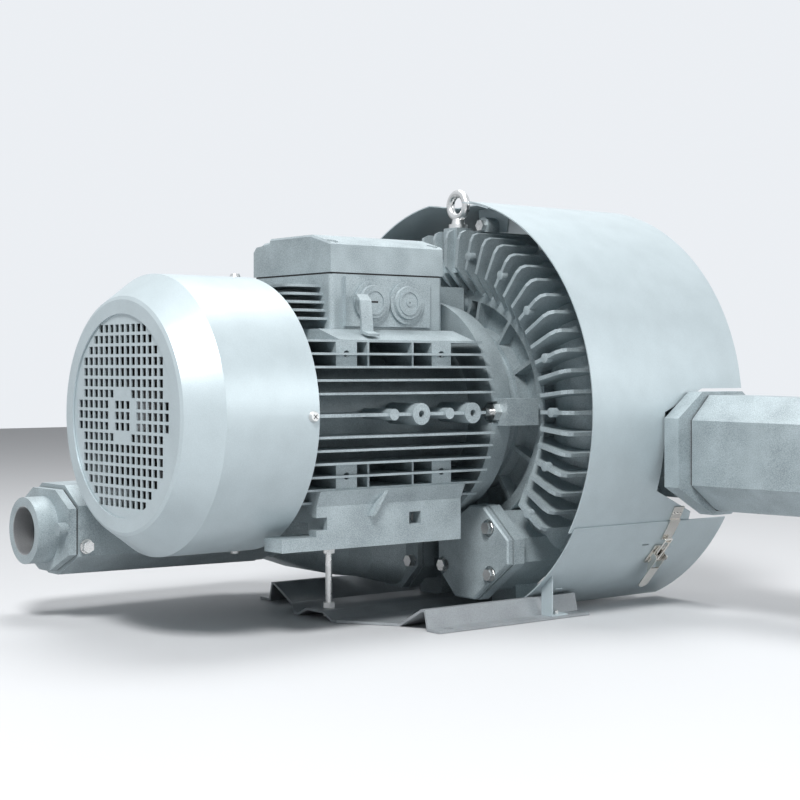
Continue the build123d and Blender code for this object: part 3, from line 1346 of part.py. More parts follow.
with BuildPart() as hood_apron:
    add(rounded_shell(HOOD_FRONT_X + APRON_SHIFT, hood_x1 + APRON_PROUD, apron_r, APRON_TOP, APRON_LOW, HOOD_T))
    for station, angle in APRON_SLOTS:
        facing = Plane(origin=(station, 0, AXIS_H), x_dir=(1, 0, 0), z_dir=(0, *at_angle(angle, 1)))
        with BuildSketch(facing.offset(HOOD_R - 1)):
            SlotOverall(SLOT_L, SLOT_W)
        extrude(amount=2 * HOOD_T + 2, mode=Mode.SUBTRACT)
save(hood_apron.part, "hood_apron")

bracket_x = STAGE_X + SPLIT_FLANGE_T + SEAT
with BuildPart() as hood_brackets:
    for angle in bracket_angles:
        outer = (far_sheet_r if angle < HOOD_SEAM else HOOD_R) - HOOD_T - SEAT
        low = angle - HOOD_BRACKET_HALF
        high = angle + HOOD_BRACKET_HALF
        add(rounded_shell(bracket_x, bracket_x + HOOD_BRACKET_T, outer, low, high,
                          outer - bolt_circle_r + CASING_BOLT_LUG_R - 3))
        add(rounded_shell(bracket_x, bracket_x + HOOD_BRACKET_FOOT_L, outer, low, high, HOOD_BRACKET_T))
    with BuildSketch(across(bracket_x)):
        with Locations(*bolt_spots(bracket_angles)):
            Circle(CASING_BOLT_R + SEAT)
    extrude(amount=HOOD_BRACKET_T, mode=Mode.SUBTRACT)
save(hood_brackets.part, "hood_brackets")

with BuildPart() as apron_bracket:
    with BuildSketch(across(APRON_BRACKET_X)):
        with Locations((-APRON_BRACKET_Y, BASE_T + SEAT / 2 - AXIS_H)):
            Rectangle(APRON_BRACKET_L, APRON_BRACKET_H, align=(Align.CENTER, Align.MIN))
        Circle(apron_r + SEAT, mode=Mode.SUBTRACT)
    extrude(amount=2)
    with BuildSketch(Plane.XY.offset(BASE_T + SEAT / 2)):
        with Locations((APRON_BRACKET_X, -APRON_BRACKET_Y)):
            Rectangle(APRON_BRACKET_W, APRON_BRACKET_L, align=(Align.MIN, Align.CENTER))
    extrude(amount=2)
    with Locations((APRON_BRACKET_X + APRON_BRACKET_W / 2, -APRON_BRACKET_Y, BASE_T + SEAT / 2 + 2)):
        Hole(APRON_SCREW_R + SEAT, depth=4)
save(apron_bracket.part, "apron_bracket")

with BuildPart() as apron_screw:
    head_z = BASE_T + SEAT + 2
    with BuildSketch(Plane.XY.offset(head_z)):
        with Locations((APRON_BRACKET_X + APRON_BRACKET_W / 2, -APRON_BRACKET_Y)):
            RegularPolygon(radius=4, side_count=6, major_radius=False)
    extrude(amount=3.5)
    with BuildSketch(Plane.XY.offset(head_z)):
        with Locations((APRON_BRACKET_X + APRON_BRACKET_W / 2, -APRON_BRACKET_Y)):
            Circle(APRON_SCREW_R)
    extrude(amount=-head_z + SEAT)
save(apron_screw.part, "apron_screw")

# ---------------------------------------------------------------- draw latch between the apron and the hood
latch_y, latch_z = at_angle(LATCH_ANGLE, apron_r)
LATCH = Plane(origin=(LATCH_X, latch_y, AXIS_H + latch_z), x_dir=(1, 0, 0),
              z_dir=(0, *at_angle(LATCH_ANGLE, 1)))
plate_top = SEAT + LATCH_SHEET_T


def latch_side(along):
    """Plane square to the shaft at a distance from the latch's middle; its axes run to the catch and out."""
    return Plane(origin=LATCH.from_local_coords((along, 0, 0)), x_dir=LATCH.y_dir, z_dir=(1, 0, 0))


with BuildPart() as latch_base:
    with BuildSketch(LATCH.offset(SEAT)):
        RectangleRounded(LATCH_PLATE_W, LATCH_PLATE_L, 2)
    extrude(amount=LATCH_SHEET_T)
    for side in (-1, 1):
        with BuildSketch(latch_side(side * LATCH_EAR_IN)):
            with Locations((0, LATCH_PIVOT_H)):
                Circle(2 * LATCH_PIVOT_R)
            with Locations((0, (LATCH_PIVOT_H + SEAT) / 2)):
                Rectangle(4 * LATCH_PIVOT_R, LATCH_PIVOT_H - SEAT)
        extrude(amount=side * LATCH_SHEET_T)
        with BuildSketch(latch_side(side * (LATCH_FLANGE_OUT - LATCH_LEVER_T - 0.2))):
            with Locations((0, LATCH_PIVOT_H)):
                Circle(LATCH_PIVOT_R)
        extrude(amount=side * (LATCH_EAR_IN - LATCH_FLANGE_OUT + LATCH_LEVER_T + 0.4))
    with BuildSketch(LATCH.offset(plate_top)):
        with Locations((0, -LATCH_PLATE_L / 2 + 4), (0, LATCH_PLATE_L / 2 - 4)):
            Circle(2.5)
    extrude(amount=1, taper=30)
save(latch_base.part, "latch_base")

lever_top = LATCH_PIVOT_H + 3.2
with BuildPart() as latch_lever:
    for side in (-1, 1):
        with BuildSketch(latch_side(side * (LATCH_FLANGE_OUT - LATCH_LEVER_T))):
            with BuildLine():
                Polyline(
                    (-24, lever_top), (4, lever_top), (4.5, lever_top - 1), (4.5, 5.5),
                    (-4, BAIL_H - 1.9), (-11, BAIL_H - 1.9), (-24, lever_top - LATCH_LEVER_T), close=True,
                )
            make_face()
            with Locations((0, LATCH_PIVOT_H)):
                Circle(LATCH_PIVOT_R + LATCH_PIN_FIT, mode=Mode.SUBTRACT)
            with Locations((BAIL_V, BAIL_H)):
                Circle(BAIL_R + LATCH_PIN_FIT, mode=Mode.SUBTRACT)
        extrude(amount=side * LATCH_LEVER_T)
    with BuildSketch(LATCH.offset(lever_top - LATCH_LEVER_T)):
        with BuildLine():
            Polyline((-LATCH_FLANGE_OUT, -16), (LATCH_FLANGE_OUT, -16), (LATCH_FLANGE_OUT, 6 - LATCH_LEVER_L))
            ThreePointArc((LATCH_FLANGE_OUT, 6 - LATCH_LEVER_L), (0, -LATCH_LEVER_L),
                          (-LATCH_FLANGE_OUT, 6 - LATCH_LEVER_L))
            Line((-LATCH_FLANGE_OUT, 6 - LATCH_LEVER_L), (-LATCH_FLANGE_OUT, -16))
        make_face()
    extrude(amount=LATCH_LEVER_T)
save(latch_lever.part, "latch_lever")

bail_end = LATCH_EAR_IN - SEAT
bail_route = [
    LATCH.from_local_coords(Vector(along, reach, BAIL_H)) for along, reach in (
        (bail_end, BAIL_V), (BAIL_HALF, BAIL_V), (BAIL_HALF, BAIL_REACH),
        (-BAIL_HALF, BAIL_REACH), (-BAIL_HALF, BAIL_V), (-bail_end, BAIL_V),
    )
]
save(rod([tuple(point) for point in bail_route], BAIL_R), "latch_bail")

tongue_v = BAIL_REACH - BAIL_R - CATCH_GAP - LATCH_SHEET_T / 2
tongue_angle = LATCH_ANGLE - math.degrees(math.asin((tongue_v - LATCH_SHEET_T / 2) / apron_r))
catch_low_r = HOOD_R + SEAT / 2 + LATCH_SHEET_T
catch_high_r = apron_r + SEAT + LATCH_SHEET_T
with BuildPart() as latch_catch:
    x0 = LATCH_X - CATCH_HALF
    x1 = LATCH_X + CATCH_HALF
    add(rounded_shell(x0, x1, catch_low_r, APRON_TOP - 4.4, APRON_TOP - 0.2, LATCH_SHEET_T))
    add(rounded_shell(x0, x1, catch_high_r, APRON_TOP - 0.6, APRON_TOP - 0.2,
                      catch_high_r - catch_low_r + LATCH_SHEET_T))
    add(rounded_shell(x0, x1, catch_high_r, APRON_TOP - 0.6, tongue_angle, LATCH_SHEET_T))
    with BuildSketch(LATCH.offset(-0.4)):
        with Locations((0, tongue_v)):
            Rectangle(CATCH_TONGUE_W, LATCH_SHEET_T)
    extrude(amount=CATCH_TONGUE_H + 0.4)
    facing = Plane(origin=(LATCH_X, 0, AXIS_H), x_dir=(1, 0, 0),
                   z_dir=(0, *at_angle(APRON_TOP - 2.4, 1)))
    with BuildSketch(facing.offset(catch_low_r - 0.2)):
        with GridLocations(6, 0, 3, 1):
            Circle(2)
    extrude(amount=1.4, taper=25)
save(latch_catch.part, "latch_catch")
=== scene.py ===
"""Looks of the two-stage side channel blower: finishes, threads, small fasteners, stage and light.

Every size is in metres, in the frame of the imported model: +X along the shaft, +Z up, floor at zero.
"""

import json
import logging
import math
from collections.abc import Callable
from dataclasses import dataclass, field
from enum import Enum

import bmesh
import bpy
from mathutils import Matrix, Vector

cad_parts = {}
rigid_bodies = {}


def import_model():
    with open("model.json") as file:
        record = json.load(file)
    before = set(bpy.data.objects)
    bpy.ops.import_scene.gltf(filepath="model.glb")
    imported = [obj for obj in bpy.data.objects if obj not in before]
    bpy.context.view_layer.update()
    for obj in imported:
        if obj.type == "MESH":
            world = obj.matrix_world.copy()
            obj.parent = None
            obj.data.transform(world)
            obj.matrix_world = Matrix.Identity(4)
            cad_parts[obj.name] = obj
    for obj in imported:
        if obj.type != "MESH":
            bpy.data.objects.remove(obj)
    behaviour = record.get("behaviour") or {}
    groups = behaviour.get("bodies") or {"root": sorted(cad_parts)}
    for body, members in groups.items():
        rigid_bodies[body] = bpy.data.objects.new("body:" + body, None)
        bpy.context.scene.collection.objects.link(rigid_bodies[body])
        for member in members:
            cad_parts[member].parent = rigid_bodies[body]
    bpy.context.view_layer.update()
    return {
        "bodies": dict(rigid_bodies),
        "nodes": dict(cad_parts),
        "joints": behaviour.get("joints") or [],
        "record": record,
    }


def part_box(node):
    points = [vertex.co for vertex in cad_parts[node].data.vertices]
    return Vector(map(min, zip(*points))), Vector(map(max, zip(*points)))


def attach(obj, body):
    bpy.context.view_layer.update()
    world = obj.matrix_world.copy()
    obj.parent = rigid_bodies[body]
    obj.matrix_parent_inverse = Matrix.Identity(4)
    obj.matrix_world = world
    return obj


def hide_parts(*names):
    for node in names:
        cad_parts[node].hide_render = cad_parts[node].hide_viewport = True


log = logging.getLogger("blower")

MM = 0.001
SHAFT_Z = 0.246                      # height of the shaft
MERGE = 2e-6                         # corners closer than this are one
FLAT_TURN = math.radians(0.4)        # faces that turn by less are merged
OCTAGON_TURN = math.radians(30)      # the octagon's outer edges turn by more
SMOOTH_TURN = math.radians(32)       # edges that turn by more stay sharp
QUARTER = math.radians(90)
PARALLEL = 0.999                     # cosine above which an edge runs along an axis
FACES_UP = 0.9                       # a face whose normal rises by more than this points up

PIT_SCALE = 0.6                      # the pits' scale, as a share of the grain's
PIT_SHARE = 0.6                      # how much the pits add to the height
FINE_SHARE = 0.65                    # the fine grain's share of the specks
PATCH_SHARE = 0.35                   # the broad patches' share of the specks
TONE_RANGE = (0.33, 0.67)            # speck values of the dark and the light paint
GLOSS_RANGE = (0.35, 0.65)           # smear values of the low and the high roughness
BUMP_REACH = 0.0004
COAT_ROUGH = 0.25


class Effect(Enum):
    """Node groups that several finishes share."""

    CAST_GRAIN = "cast_grain"
    WEAR = "handling_wear"


class Axis(Enum):
    """Direction in which a turned piece points."""

    MINUS_X = (-1.0, 0.0, 0.0)
    MINUS_Y = (0.0, -1.0, 0.0)


# ------------------------------------------------------------------ shared node groups
def _group_shell(name: str, values: dict[str, float]) -> bpy.types.ShaderNodeTree:
    """Makes an empty shader group with float inputs.

    Args:
        name: the group's name.
        values: each input's name and default.

    Returns:
        The new group, with its Group Input and Group Output nodes.
    """
    group = bpy.data.node_groups.new(name, "ShaderNodeTree")
    for label, value in values.items():
        socket = group.interface.new_socket(label, in_out="INPUT", socket_type="NodeSocketFloat")
        socket.default_value = value
    group.nodes.new("NodeGroupInput")
    group.nodes.new("NodeGroupOutput")
    return group


def _math(tree: bpy.types.ShaderNodeTree, kind: str, first: bpy.types.NodeSocket | float,
          second: bpy.types.NodeSocket | float) -> bpy.types.NodeSocket:
    """Adds a Math node.

    Args:
        tree: the node tree it goes into.
        kind: the node's operation.
        first: a socket or a number.
        second: a socket or a number.

    Returns:
        The node's output.
    """
    node = tree.nodes.new("ShaderNodeMath")
    node.operation = kind
    for socket, value in zip(node.inputs, (first, second)):
        if isinstance(value, bpy.types.NodeSocket):
            tree.links.new(value, socket)
        else:
            socket.default_value = value
    return node.outputs[0]


def cast_grain_group() -> bpy.types.ShaderNodeTree:
    """Sandy skin of a painted casting: a fine height, and a mask of pale and dark specks.

    Returns:
        A group with inputs Grain (per metre) and Patch (per metre), and outputs Height and Speck.
    """
    group = _group_shell(Effect.CAST_GRAIN.value, {"Grain": 900.0, "Patch": 30.0})
    for label in ("Height", "Speck"):
        group.interface.new_socket(label, in_out="OUTPUT", socket_type="NodeSocketFloat")
    entry = next(n for n in group.nodes if n.type == "GROUP_INPUT")
    leave = next(n for n in group.nodes if n.type == "GROUP_OUTPUT")
    place = group.nodes.new("ShaderNodeTexCoord")
    fine = group.nodes.new("ShaderNodeTexNoise")
    fine.inputs["Detail"].default_value = 3.0
    patch = group.nodes.new("ShaderNodeTexNoise")
    patch.inputs["Detail"].default_value = 2.0
    pits = group.nodes.new("ShaderNodeTexVoronoi")
    for node, source in ((fine, "Grain"), (patch, "Patch")):
        group.links.new(place.outputs["Object"], node.inputs["Vector"])
        group.links.new(entry.outputs[source], node.inputs["Scale"])
    group.links.new(place.outputs["Object"], pits.inputs["Vector"])
    pit_scale = _math(group, "MULTIPLY", entry.outputs["Grain"], PIT_SCALE)
    group.links.new(pit_scale, pits.inputs["Scale"])
    depth = _math(group, "MULTIPLY", pits.outputs["Distance"], PIT_SHARE)
    height = _math(group, "ADD", fine.outputs["Fac"], depth)
    group.links.new(height, leave.inputs["Height"])
    speck = _math(group, "ADD", _math(group, "MULTIPLY", fine.outputs["Fac"], FINE_SHARE),
                  _math(group, "MULTIPLY", patch.outputs["Fac"], PATCH_SHARE))
    group.links.new(speck, leave.inputs["Speck"])
    return group


def wear_group() -> bpy.types.ShaderNodeTree:
    """Handling marks: broad faint smears and thin streaks.

    Returns:
        A group with input Size (per metre) and output Smear.
    """
    group = _group_shell(Effect.WEAR.value, {"Size": 9.0})
    group.interface.new_socket("Smear", in_out="OUTPUT", socket_type="NodeSocketFloat")
    entry = next(n for n in group.nodes if n.type == "GROUP_INPUT")
    leave = next(n for n in group.nodes if n.type == "GROUP_OUTPUT")
    place = group.nodes.new("ShaderNodeTexCoord")
    smear = group.nodes.new("ShaderNodeTexNoise")
    smear.inputs["Detail"].default_value = 5.0
    smear.inputs["Distortion"].default_value = 0.6
    group.links.new(place.outputs["Object"], smear.inputs["Vector"])
    group.links.new(entry.outputs["Size"], smear.inputs["Scale"])
    group.links.new(smear.outputs["Fac"], leave.inputs["Smear"])
    return group


# ------------------------------------------------------------------ finishes
@dataclass(frozen=True)
class Finish:
    """One surface finish, as a Principled material with the shared effects."""

    name: str
    light: tuple[float, float, float]
    dark: tuple[float, float, float]
    metallic: float
    rough: tuple[float, float]
    grain: float
    bump: float
    smear: float = 9.0
    coat: float = 0.0

    def build(self) -> bpy.types.Material:
        """Makes the material.

        Returns:
            The finished material.
        """
        material = bpy.data.materials.new(self.name)
        material.use_nodes = True
        tree = material.node_tree
        shader = tree.nodes["Principled BSDF"]
        shader.inputs["Metallic"].default_value = self.metallic
        shader.inputs["Coat Weight"].default_value = self.coat
        shader.inputs["Coat Roughness"].default_value = COAT_ROUGH
        grain = tree.nodes.new("ShaderNodeGroup")
        grain.node_tree = bpy.data.node_groups[Effect.CAST_GRAIN.value]
        grain.inputs["Grain"].default_value = self.grain
        wear = tree.nodes.new("ShaderNodeGroup")
        wear.node_tree = bpy.data.node_groups[Effect.WEAR.value]
        wear.inputs["Size"].default_value = self.smear
        tone = tree.nodes.new("ShaderNodeValToRGB")
        stops = tone.color_ramp.elements
        for stop, place, colour in zip(stops, TONE_RANGE, (self.dark, self.light)):
            stop.position = place
            stop.color = (*colour, 1.0)
        tree.links.new(grain.outputs["Speck"], tone.inputs["Fac"])
        tree.links.new(tone.outputs["Color"], shader.inputs["Base Color"])
        gloss = tree.nodes.new("ShaderNodeMapRange")
        limits = (*GLOSS_RANGE, *self.rough)
        for label, value in zip(("From Min", "From Max", "To Min", "To Max"), limits):
            gloss.inputs[label].default_value = value
        tree.links.new(wear.outputs["Smear"], gloss.inputs["Value"])
        tree.links.new(gloss.outputs["Result"], shader.inputs["Roughness"])
        bump = tree.nodes.new("ShaderNodeBump")
        bump.inputs["Strength"].default_value = self.bump
        bump.inputs["Distance"].default_value = BUMP_REACH
        tree.links.new(grain.outputs["Height"], bump.inputs["Height"])
        tree.links.new(bump.outputs["Normal"], shader.inputs["Normal"])
        return material


FINISHES = (
    Finish("casting_paint", (0.46, 0.535, 0.56), (0.23, 0.275, 0.295), 0.25, (0.42, 0.56), 950.0,
           0.55),
    Finish("sheet_paint", (0.52, 0.60, 0.63), (0.43, 0.50, 0.525), 0.30, (0.34, 0.44), 1300.0, 0.12,
           smear=4.0),
    Finish("base_steel", (0.40, 0.43, 0.45), (0.27, 0.29, 0.305), 0.3, (0.40, 0.52), 1000.0, 0.2,
           smear=6.0),
    Finish("zinc", (0.74, 0.745, 0.74), (0.58, 0.585, 0.58), 1.0, (0.24, 0.38), 1600.0, 0.10,
           smear=60.0),
    Finish("bright_nickel", (0.78, 0.76, 0.72), (0.66, 0.64, 0.60), 1.0, (0.12, 0.22), 1800.0, 0.05,
           smear=80.0),
    Finish("gasket", (0.035, 0.035, 0.036), (0.018, 0.018, 0.019), 0.0, (0.6, 0.75), 700.0, 0.3),
    Finish("fan_plastic", (0.05, 0.05, 0.052), (0.03, 0.03, 0.031), 0.0, (0.45, 0.6), 500.0, 0.1),
    Finish("bare_aluminium", (0.72, 0.73, 0.74), (0.55, 0.56, 0.57), 1.0, (0.35, 0.5), 800.0, 0.3),
    Finish("core_steel", (0.50, 0.50, 0.51), (0.36, 0.36, 0.37), 1.0, (0.25, 0.4), 900.0, 0.1),
    Finish("winding", (0.42, 0.17, 0.06), (0.25, 0.09, 0.03), 0.2, (0.3, 0.5), 500.0, 0.4),
    Finish("machined_seat", (0.68, 0.69, 0.70), (0.56, 0.57, 0.58), 0.9, (0.28, 0.4), 700.0, 0.08),
)

NICKEL_NODES = ("latch_base", "latch_lever", "latch_bail", "latch_catch")


class Paintshop:
    """Builds the finishes and puts them on CAD nodes and on new pieces."""

    def __init__(self, frame: dict) -> None:
        """Builds every material.
        """
        cast_grain_group()
        wear_group()
        self.frame = frame
        self.materials = {finish.name: finish.build() for finish in FINISHES}

    def coat(self, piece: bpy.types.Object, finish: str) -> None:
        """Gives a piece one finish all over.

        Args:
            piece: the object to coat.
            finish: the finish's name.
        """
        piece.data.materials.clear()
        piece.data.materials.append(self.materials[finish])

    def coat_nodes(self) -> None:
        """Coats every CAD node by the record's material slot."""
        slots = {part["node"]: part["material_slot"] for part in self.frame["record"]["subparts"]}
        for name, node in self.frame["nodes"].items():
            finish = "bright_nickel" if name in NICKEL_NODES else slots[name]
            if not node.material_slots:
                node.data.materials.append(None)
            for place in node.material_slots:
                place.material = self.materials[finish]
        log.info("coated %d nodes", len(self.frame["nodes"]))


# ------------------------------------------------------------------ modelling helpers
def _clear_selection() -> None:
    """Deselects everything."""
    bpy.ops.object.select_all(action="DESELECT")


def _settle(piece: bpy.types.Object) -> None:
    """Puts a piece's place into its mesh, so that its object sits at the origin.

    Args:
        piece: the object to settle.
    """
    _clear_selection()
    piece.select_set(True)
    bpy.context.view_layer.objects.active = piece
    bpy.ops.object.transform_apply(location=True, rotation=True, scale=True)


def _pick_faces(piece: bpy.types.Object, wanted: Callable[[bmesh.types.BMFace], bool]) -> None:
    """Selects the rims of faces in edit mode.

    In vertex mode, a face passed over later clears the corners that it shares with a wanted one.
    So part of each rim stays selected, and the face itself doesn't.

    Args:
        piece: the object in edit mode.
        wanted: a test of a face, true for the faces to select.
    """
    mesh = bmesh.from_edit_mesh(piece.data)
    for face in mesh.faces:
        face.select_set(bool(wanted(face)))
    mesh.select_flush(False)
    bmesh.update_edit_mesh(piece.data)


def _volume(piece: bpy.types.Object) -> float:
    """Measures a closed mesh, merged first.

    Args:
        piece: the object.

    Returns:
        Its volume in cubic metres.
    """
    mesh = bmesh.new()
    mesh.from_mesh(piece.data)
    bmesh.ops.remove_doubles(mesh, verts=mesh.verts, dist=MERGE)
    volume = mesh.calc_volume()
    mesh.free()
    return volume


def _require_closed(piece: bpy.types.Object) -> None:
    """Stops the script if a mesh has an open or doubled edge.

    Args:
        piece: the object.
    """
    mesh = bmesh.new()
    mesh.from_mesh(piece.data)
    faulty = sum(1 for edge in mesh.edges if len(edge.link_faces) != 2)
    mesh.free()
    if faulty:
        raise ValueError(f"{piece.name} isn't closed: {faulty} faulty edges")


def _turn_towards(piece: bpy.types.Object, axis: Axis, at: Vector) -> None:
    """Turns a piece's own +Z to an axis, moves it, and settles it.

    Args:
        piece: the object to place.
        axis: where its +Z points.
        at: where its origin goes.
    """
    turn = Vector(axis.value).to_track_quat("Z", "Y").to_matrix().to_4x4()
    piece.matrix_world = Matrix.Translation(at) @ turn
    _settle(piece)


def _finish_piece(shop: Paintshop, piece: bpy.types.Object, name: str, finish: str,
                  body: str = "stator") -> bpy.types.Object:
    """Names, coats, smooths and mounts a new piece.

    Args:
        shop: the paint shop.
        piece: the object.
        name: the piece's name.
        finish: the finish's name.
        body: the body that it rides on.

    Returns:
        The piece.
    """
    piece.name = name
    piece.data.name = name
    _require_closed(piece)
    shop.coat(piece, finish)
    _clear_selection()
    piece.select_set(True)
    bpy.context.view_layer.objects.active = piece
    bpy.ops.object.shade_smooth_by_angle(angle=SMOOTH_TURN)
    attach(piece, body)
    log.info("piece %s: %d faces", name, len(piece.data.polygons))
    return piece


def _join(pieces: list[bpy.types.Object]) -> bpy.types.Object:
    """Joins settled copies into one object.

    Args:
        pieces: the objects.

    Returns:
        The first of them, which now holds all.
    """
    _clear_selection()
    for piece in pieces:
        piece.select_set(True)
    bpy.context.view_layer.objects.active = pieces[0]
    bpy.ops.object.join()
    return pieces[0]


def _merged_copy(frame: dict, node: str) -> bpy.types.Object:
    """Copies a CAD node, and merges the copy's doubled corners.

    The copy's stored normals go too, because they no longer fit once corners are merged.

    Args:
        node: the node's name.

    Returns:
        The copy, which holds none of the node's own properties.
    """
    piece = frame["nodes"][node].copy()
    piece.data = frame["nodes"][node].data.copy()
    for key in list(piece.keys()):
        del piece[key]
    piece.parent = None
    bpy.context.scene.collection.objects.link(piece)
    _clear_selection()
    piece.select_set(True)
    bpy.context.view_layer.objects.active = piece
    bpy.ops.object.mode_set(mode="EDIT")
    bpy.ops.mesh.select_all(action="SELECT")
    bpy.ops.mesh.remove_doubles(threshold=MERGE)
    bpy.ops.object.mode_set(mode="OBJECT")
    bpy.ops.mesh.customdata_custom_splitnormals_clear()
    return piece


def _round_long_edges(piece: bpy.types.Object, axis: Axis, setback: float) -> None:
    """Rounds some outer edges of an octagonal body that run along its axis.

    In vertex mode, an edge passed over later clears the corners that it shares with a wanted one.
    So only the edges that no such edge follows are rounded: on the outlet's body, the two lowest.

    Args:
        piece: the merged copy.
        axis: the body's axis.
        setback: how far each rounding reaches into the faces beside its edge.
    """
    along = Vector(axis.value)
    bpy.ops.object.mode_set(mode="EDIT")
    bpy.ops.mesh.select_all(action="SELECT")
    bpy.ops.mesh.dissolve_limited(angle_limit=FLAT_TURN)
    mesh = bmesh.from_edit_mesh(piece.data)
    for edge in mesh.edges:
        run = edge.verts[1].co - edge.verts[0].co
        straight = abs(run.normalized().dot(along)) > PARALLEL
        outer = len(edge.link_faces) == 2 and edge.calc_face_angle_signed() > OCTAGON_TURN
        edge.select_set(straight and outer)
    mesh.select_flush(False)
    bmesh.update_edit_mesh(piece.data)
    bpy.ops.mesh.bevel(offset=setback, segments=6, affect="EDGES", clamp_overlap=True)
    bpy.ops.object.mode_set(mode="OBJECT")


# ------------------------------------------------------------------ rounded outlet duct
@dataclass
class RoundedDuct:
    """One piece of the outlet duct, with its two lowest corners rounded."""

    node: str
    name: str
    finish: str
    axis: Axis = Axis.MINUS_Y
    setback: float = 13.0 * MM
    least_kept: float = 0.9

    def build(self, shop: "Paintshop", frame: dict) -> bpy.types.Object:
        """Rounds a copy of the node, and puts the copy in the node's place.

        Args:
            shop: the paint shop.

        Returns:
            The piece.
        """
        piece = _merged_copy(frame, self.node)
        _round_long_edges(piece, self.axis, self.setback)
        kept = _volume(piece) / _volume(frame["nodes"][self.node])
        if not self.least_kept < kept < 1.0:
            raise ValueError(f"{self.name}: the rounding left {kept:.3f} of the node's volume")
        log.info("%s keeps %.4f of its volume", self.name, kept)
        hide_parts(self.node)
        return _finish_piece(shop, piece, self.name, self.finish)


# ------------------------------------------------------------------ threads in the two collars
@dataclass
class ThreadedCollar:
    """One silencer's end flange with its pipe thread cut into the collar's wall."""

    node: str
    name: str
    axis: Axis
    root_r: float = 29.8 * MM
    pitch: float = 2.309 * MM
    profile_r: float = 1.3 * MM
    turns: int = 12
    lead: float = 1.5
    steps: int = 48
    bare_r: float = 30.2 * MM
    bare_depth: float = 0.1 * MM
    corners: int = 3
    setback: float = 0.0
    least_kept: float = 0.93

    def mouth(self) -> Vector:
        """Finds the middle of the collar's open end.

        Returns:
            The point, from the node's box: the collar's end is the box's outermost face.
        """
        low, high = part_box(self.node)
        middle = (low + high) / 2
        out = Vector(self.axis.value)
        reach = (high - low) / 2
        return middle + Vector((out.x * reach.x, out.y * reach.y, out.z * reach.z))

    def cutter(self, mouth: Vector) -> bpy.types.Object:
        """Models the helical body that cuts the groove.

        Args:
            mouth: the middle of the collar's open end.

        Returns:
            A closed helix of triangular section, whose tip reaches the thread's root.
        """
        _clear_selection()
        centre = (self.root_r - self.profile_r, 0, 0)
        bpy.ops.mesh.primitive_circle_add(vertices=self.corners, radius=self.profile_r,
                                          fill_type="NGON", location=centre,
                                          rotation=(QUARTER, 0, 0))
        helix = bpy.context.active_object
        bpy.ops.object.mode_set(mode="EDIT")
        bpy.ops.mesh.select_all(action="SELECT")
        bpy.ops.transform.rotate(value=QUARTER, orient_axis="Y", center_override=centre)
        bpy.ops.object.mode_set(mode="OBJECT")
        _settle(helix)
        screw = helix.modifiers.new("helix", "SCREW")
        screw.axis = "Z"
        screw.screw_offset = -self.pitch
        screw.iterations = self.turns
        screw.steps = self.steps
        screw.render_steps = self.steps
        bpy.ops.object.modifier_apply(modifier="helix")
        bpy.ops.object.mode_set(mode="EDIT")
        bpy.ops.mesh.select_all(action="SELECT")
        bpy.ops.mesh.remove_doubles(threshold=MERGE / 2)
        bpy.ops.mesh.select_all(action="DESELECT")
        bpy.ops.mesh.select_non_manifold()
        bpy.ops.mesh.fill_holes(sides=0)
        bpy.ops.mesh.select_all(action="SELECT")
        bpy.ops.mesh.normals_make_consistent(inside=False)
        bpy.ops.object.mode_set(mode="OBJECT")
        start = mouth + Vector(self.axis.value) * (self.lead * self.pitch)
        _turn_towards(helix, self.axis, start)
        _require_closed(helix)
        return helix

    def build(self, shop: "Paintshop", frame: dict) -> bpy.types.Object:
        """Cuts the thread in a copy of the flange, and puts the copy in the flange's place.

        Faces whose middle lies inside the bore's radius are left bare. On the outlet's flange,
        whose flat faces are merged, that also takes some of those.

        Args:
            shop: the paint shop.

        Returns:
            The piece.
        """
        mouth = self.mouth()
        helix = self.cutter(mouth)
        piece = _merged_copy(frame, self.node)
        if self.setback:
            _round_long_edges(piece, self.axis, self.setback)
        cut = piece.modifiers.new("thread", "BOOLEAN")
        cut.operation = "DIFFERENCE"
        cut.solver = "EXACT"
        cut.object = helix
        bpy.ops.object.modifier_apply(modifier="thread")
        bpy.data.objects.remove(helix)
        _require_closed(piece)
        kept = _volume(piece) / _volume(frame["nodes"][self.node])
        if not self.least_kept < kept < 1.0:
            raise ValueError(f"{self.name}: the thread left {kept:.3f} of the flange's volume")
        log.info("%s keeps %.4f of its volume", self.name, kept)
        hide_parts(self.node)
        _finish_piece(shop, piece, self.name, "casting_paint")
        piece.data.materials.append(shop.materials["machined_seat"])
        out = Vector(self.axis.value)
        for face in piece.data.polygons:
            arm = face.center - mouth
            around = (arm - out * arm.dot(out)).length
            inside = arm.dot(out) < -self.bare_depth
            face.material_index = int(around < self.bare_r and inside)
        return piece


# ------------------------------------------------------------------ hexagon fasteners and bosses
@dataclass
class HexHead:
    """Plain hexagon head on a plain washer."""

    across: float = 13.0 * MM
    thick: float = 5.5 * MM
    washer_r: float = 8.5 * MM
    washer_t: float = 1.4 * MM

    def model(self, at: Vector, axis: Axis) -> bpy.types.Object:
        """Models one head on its washer.

        Args:
            at: the middle of its seat.
            axis: where it points.

        Returns:
            The settled object.
        """
        _clear_selection()
        bpy.ops.mesh.primitive_cylinder_add(vertices=6, radius=self.across / math.sqrt(3),
                                            depth=self.thick,
                                            location=(0, 0, self.washer_t + self.thick / 2))
        head = bpy.context.active_object
        _settle(head)
        _clear_selection()
        bpy.ops.mesh.primitive_cylinder_add(vertices=32, radius=self.washer_r, depth=self.washer_t,
                                            location=(0, 0, self.washer_t / 2))
        washer = bpy.context.active_object
        _settle(washer)
        bolt = _join([head, washer])
        _turn_towards(bolt, axis, at)
        return bolt


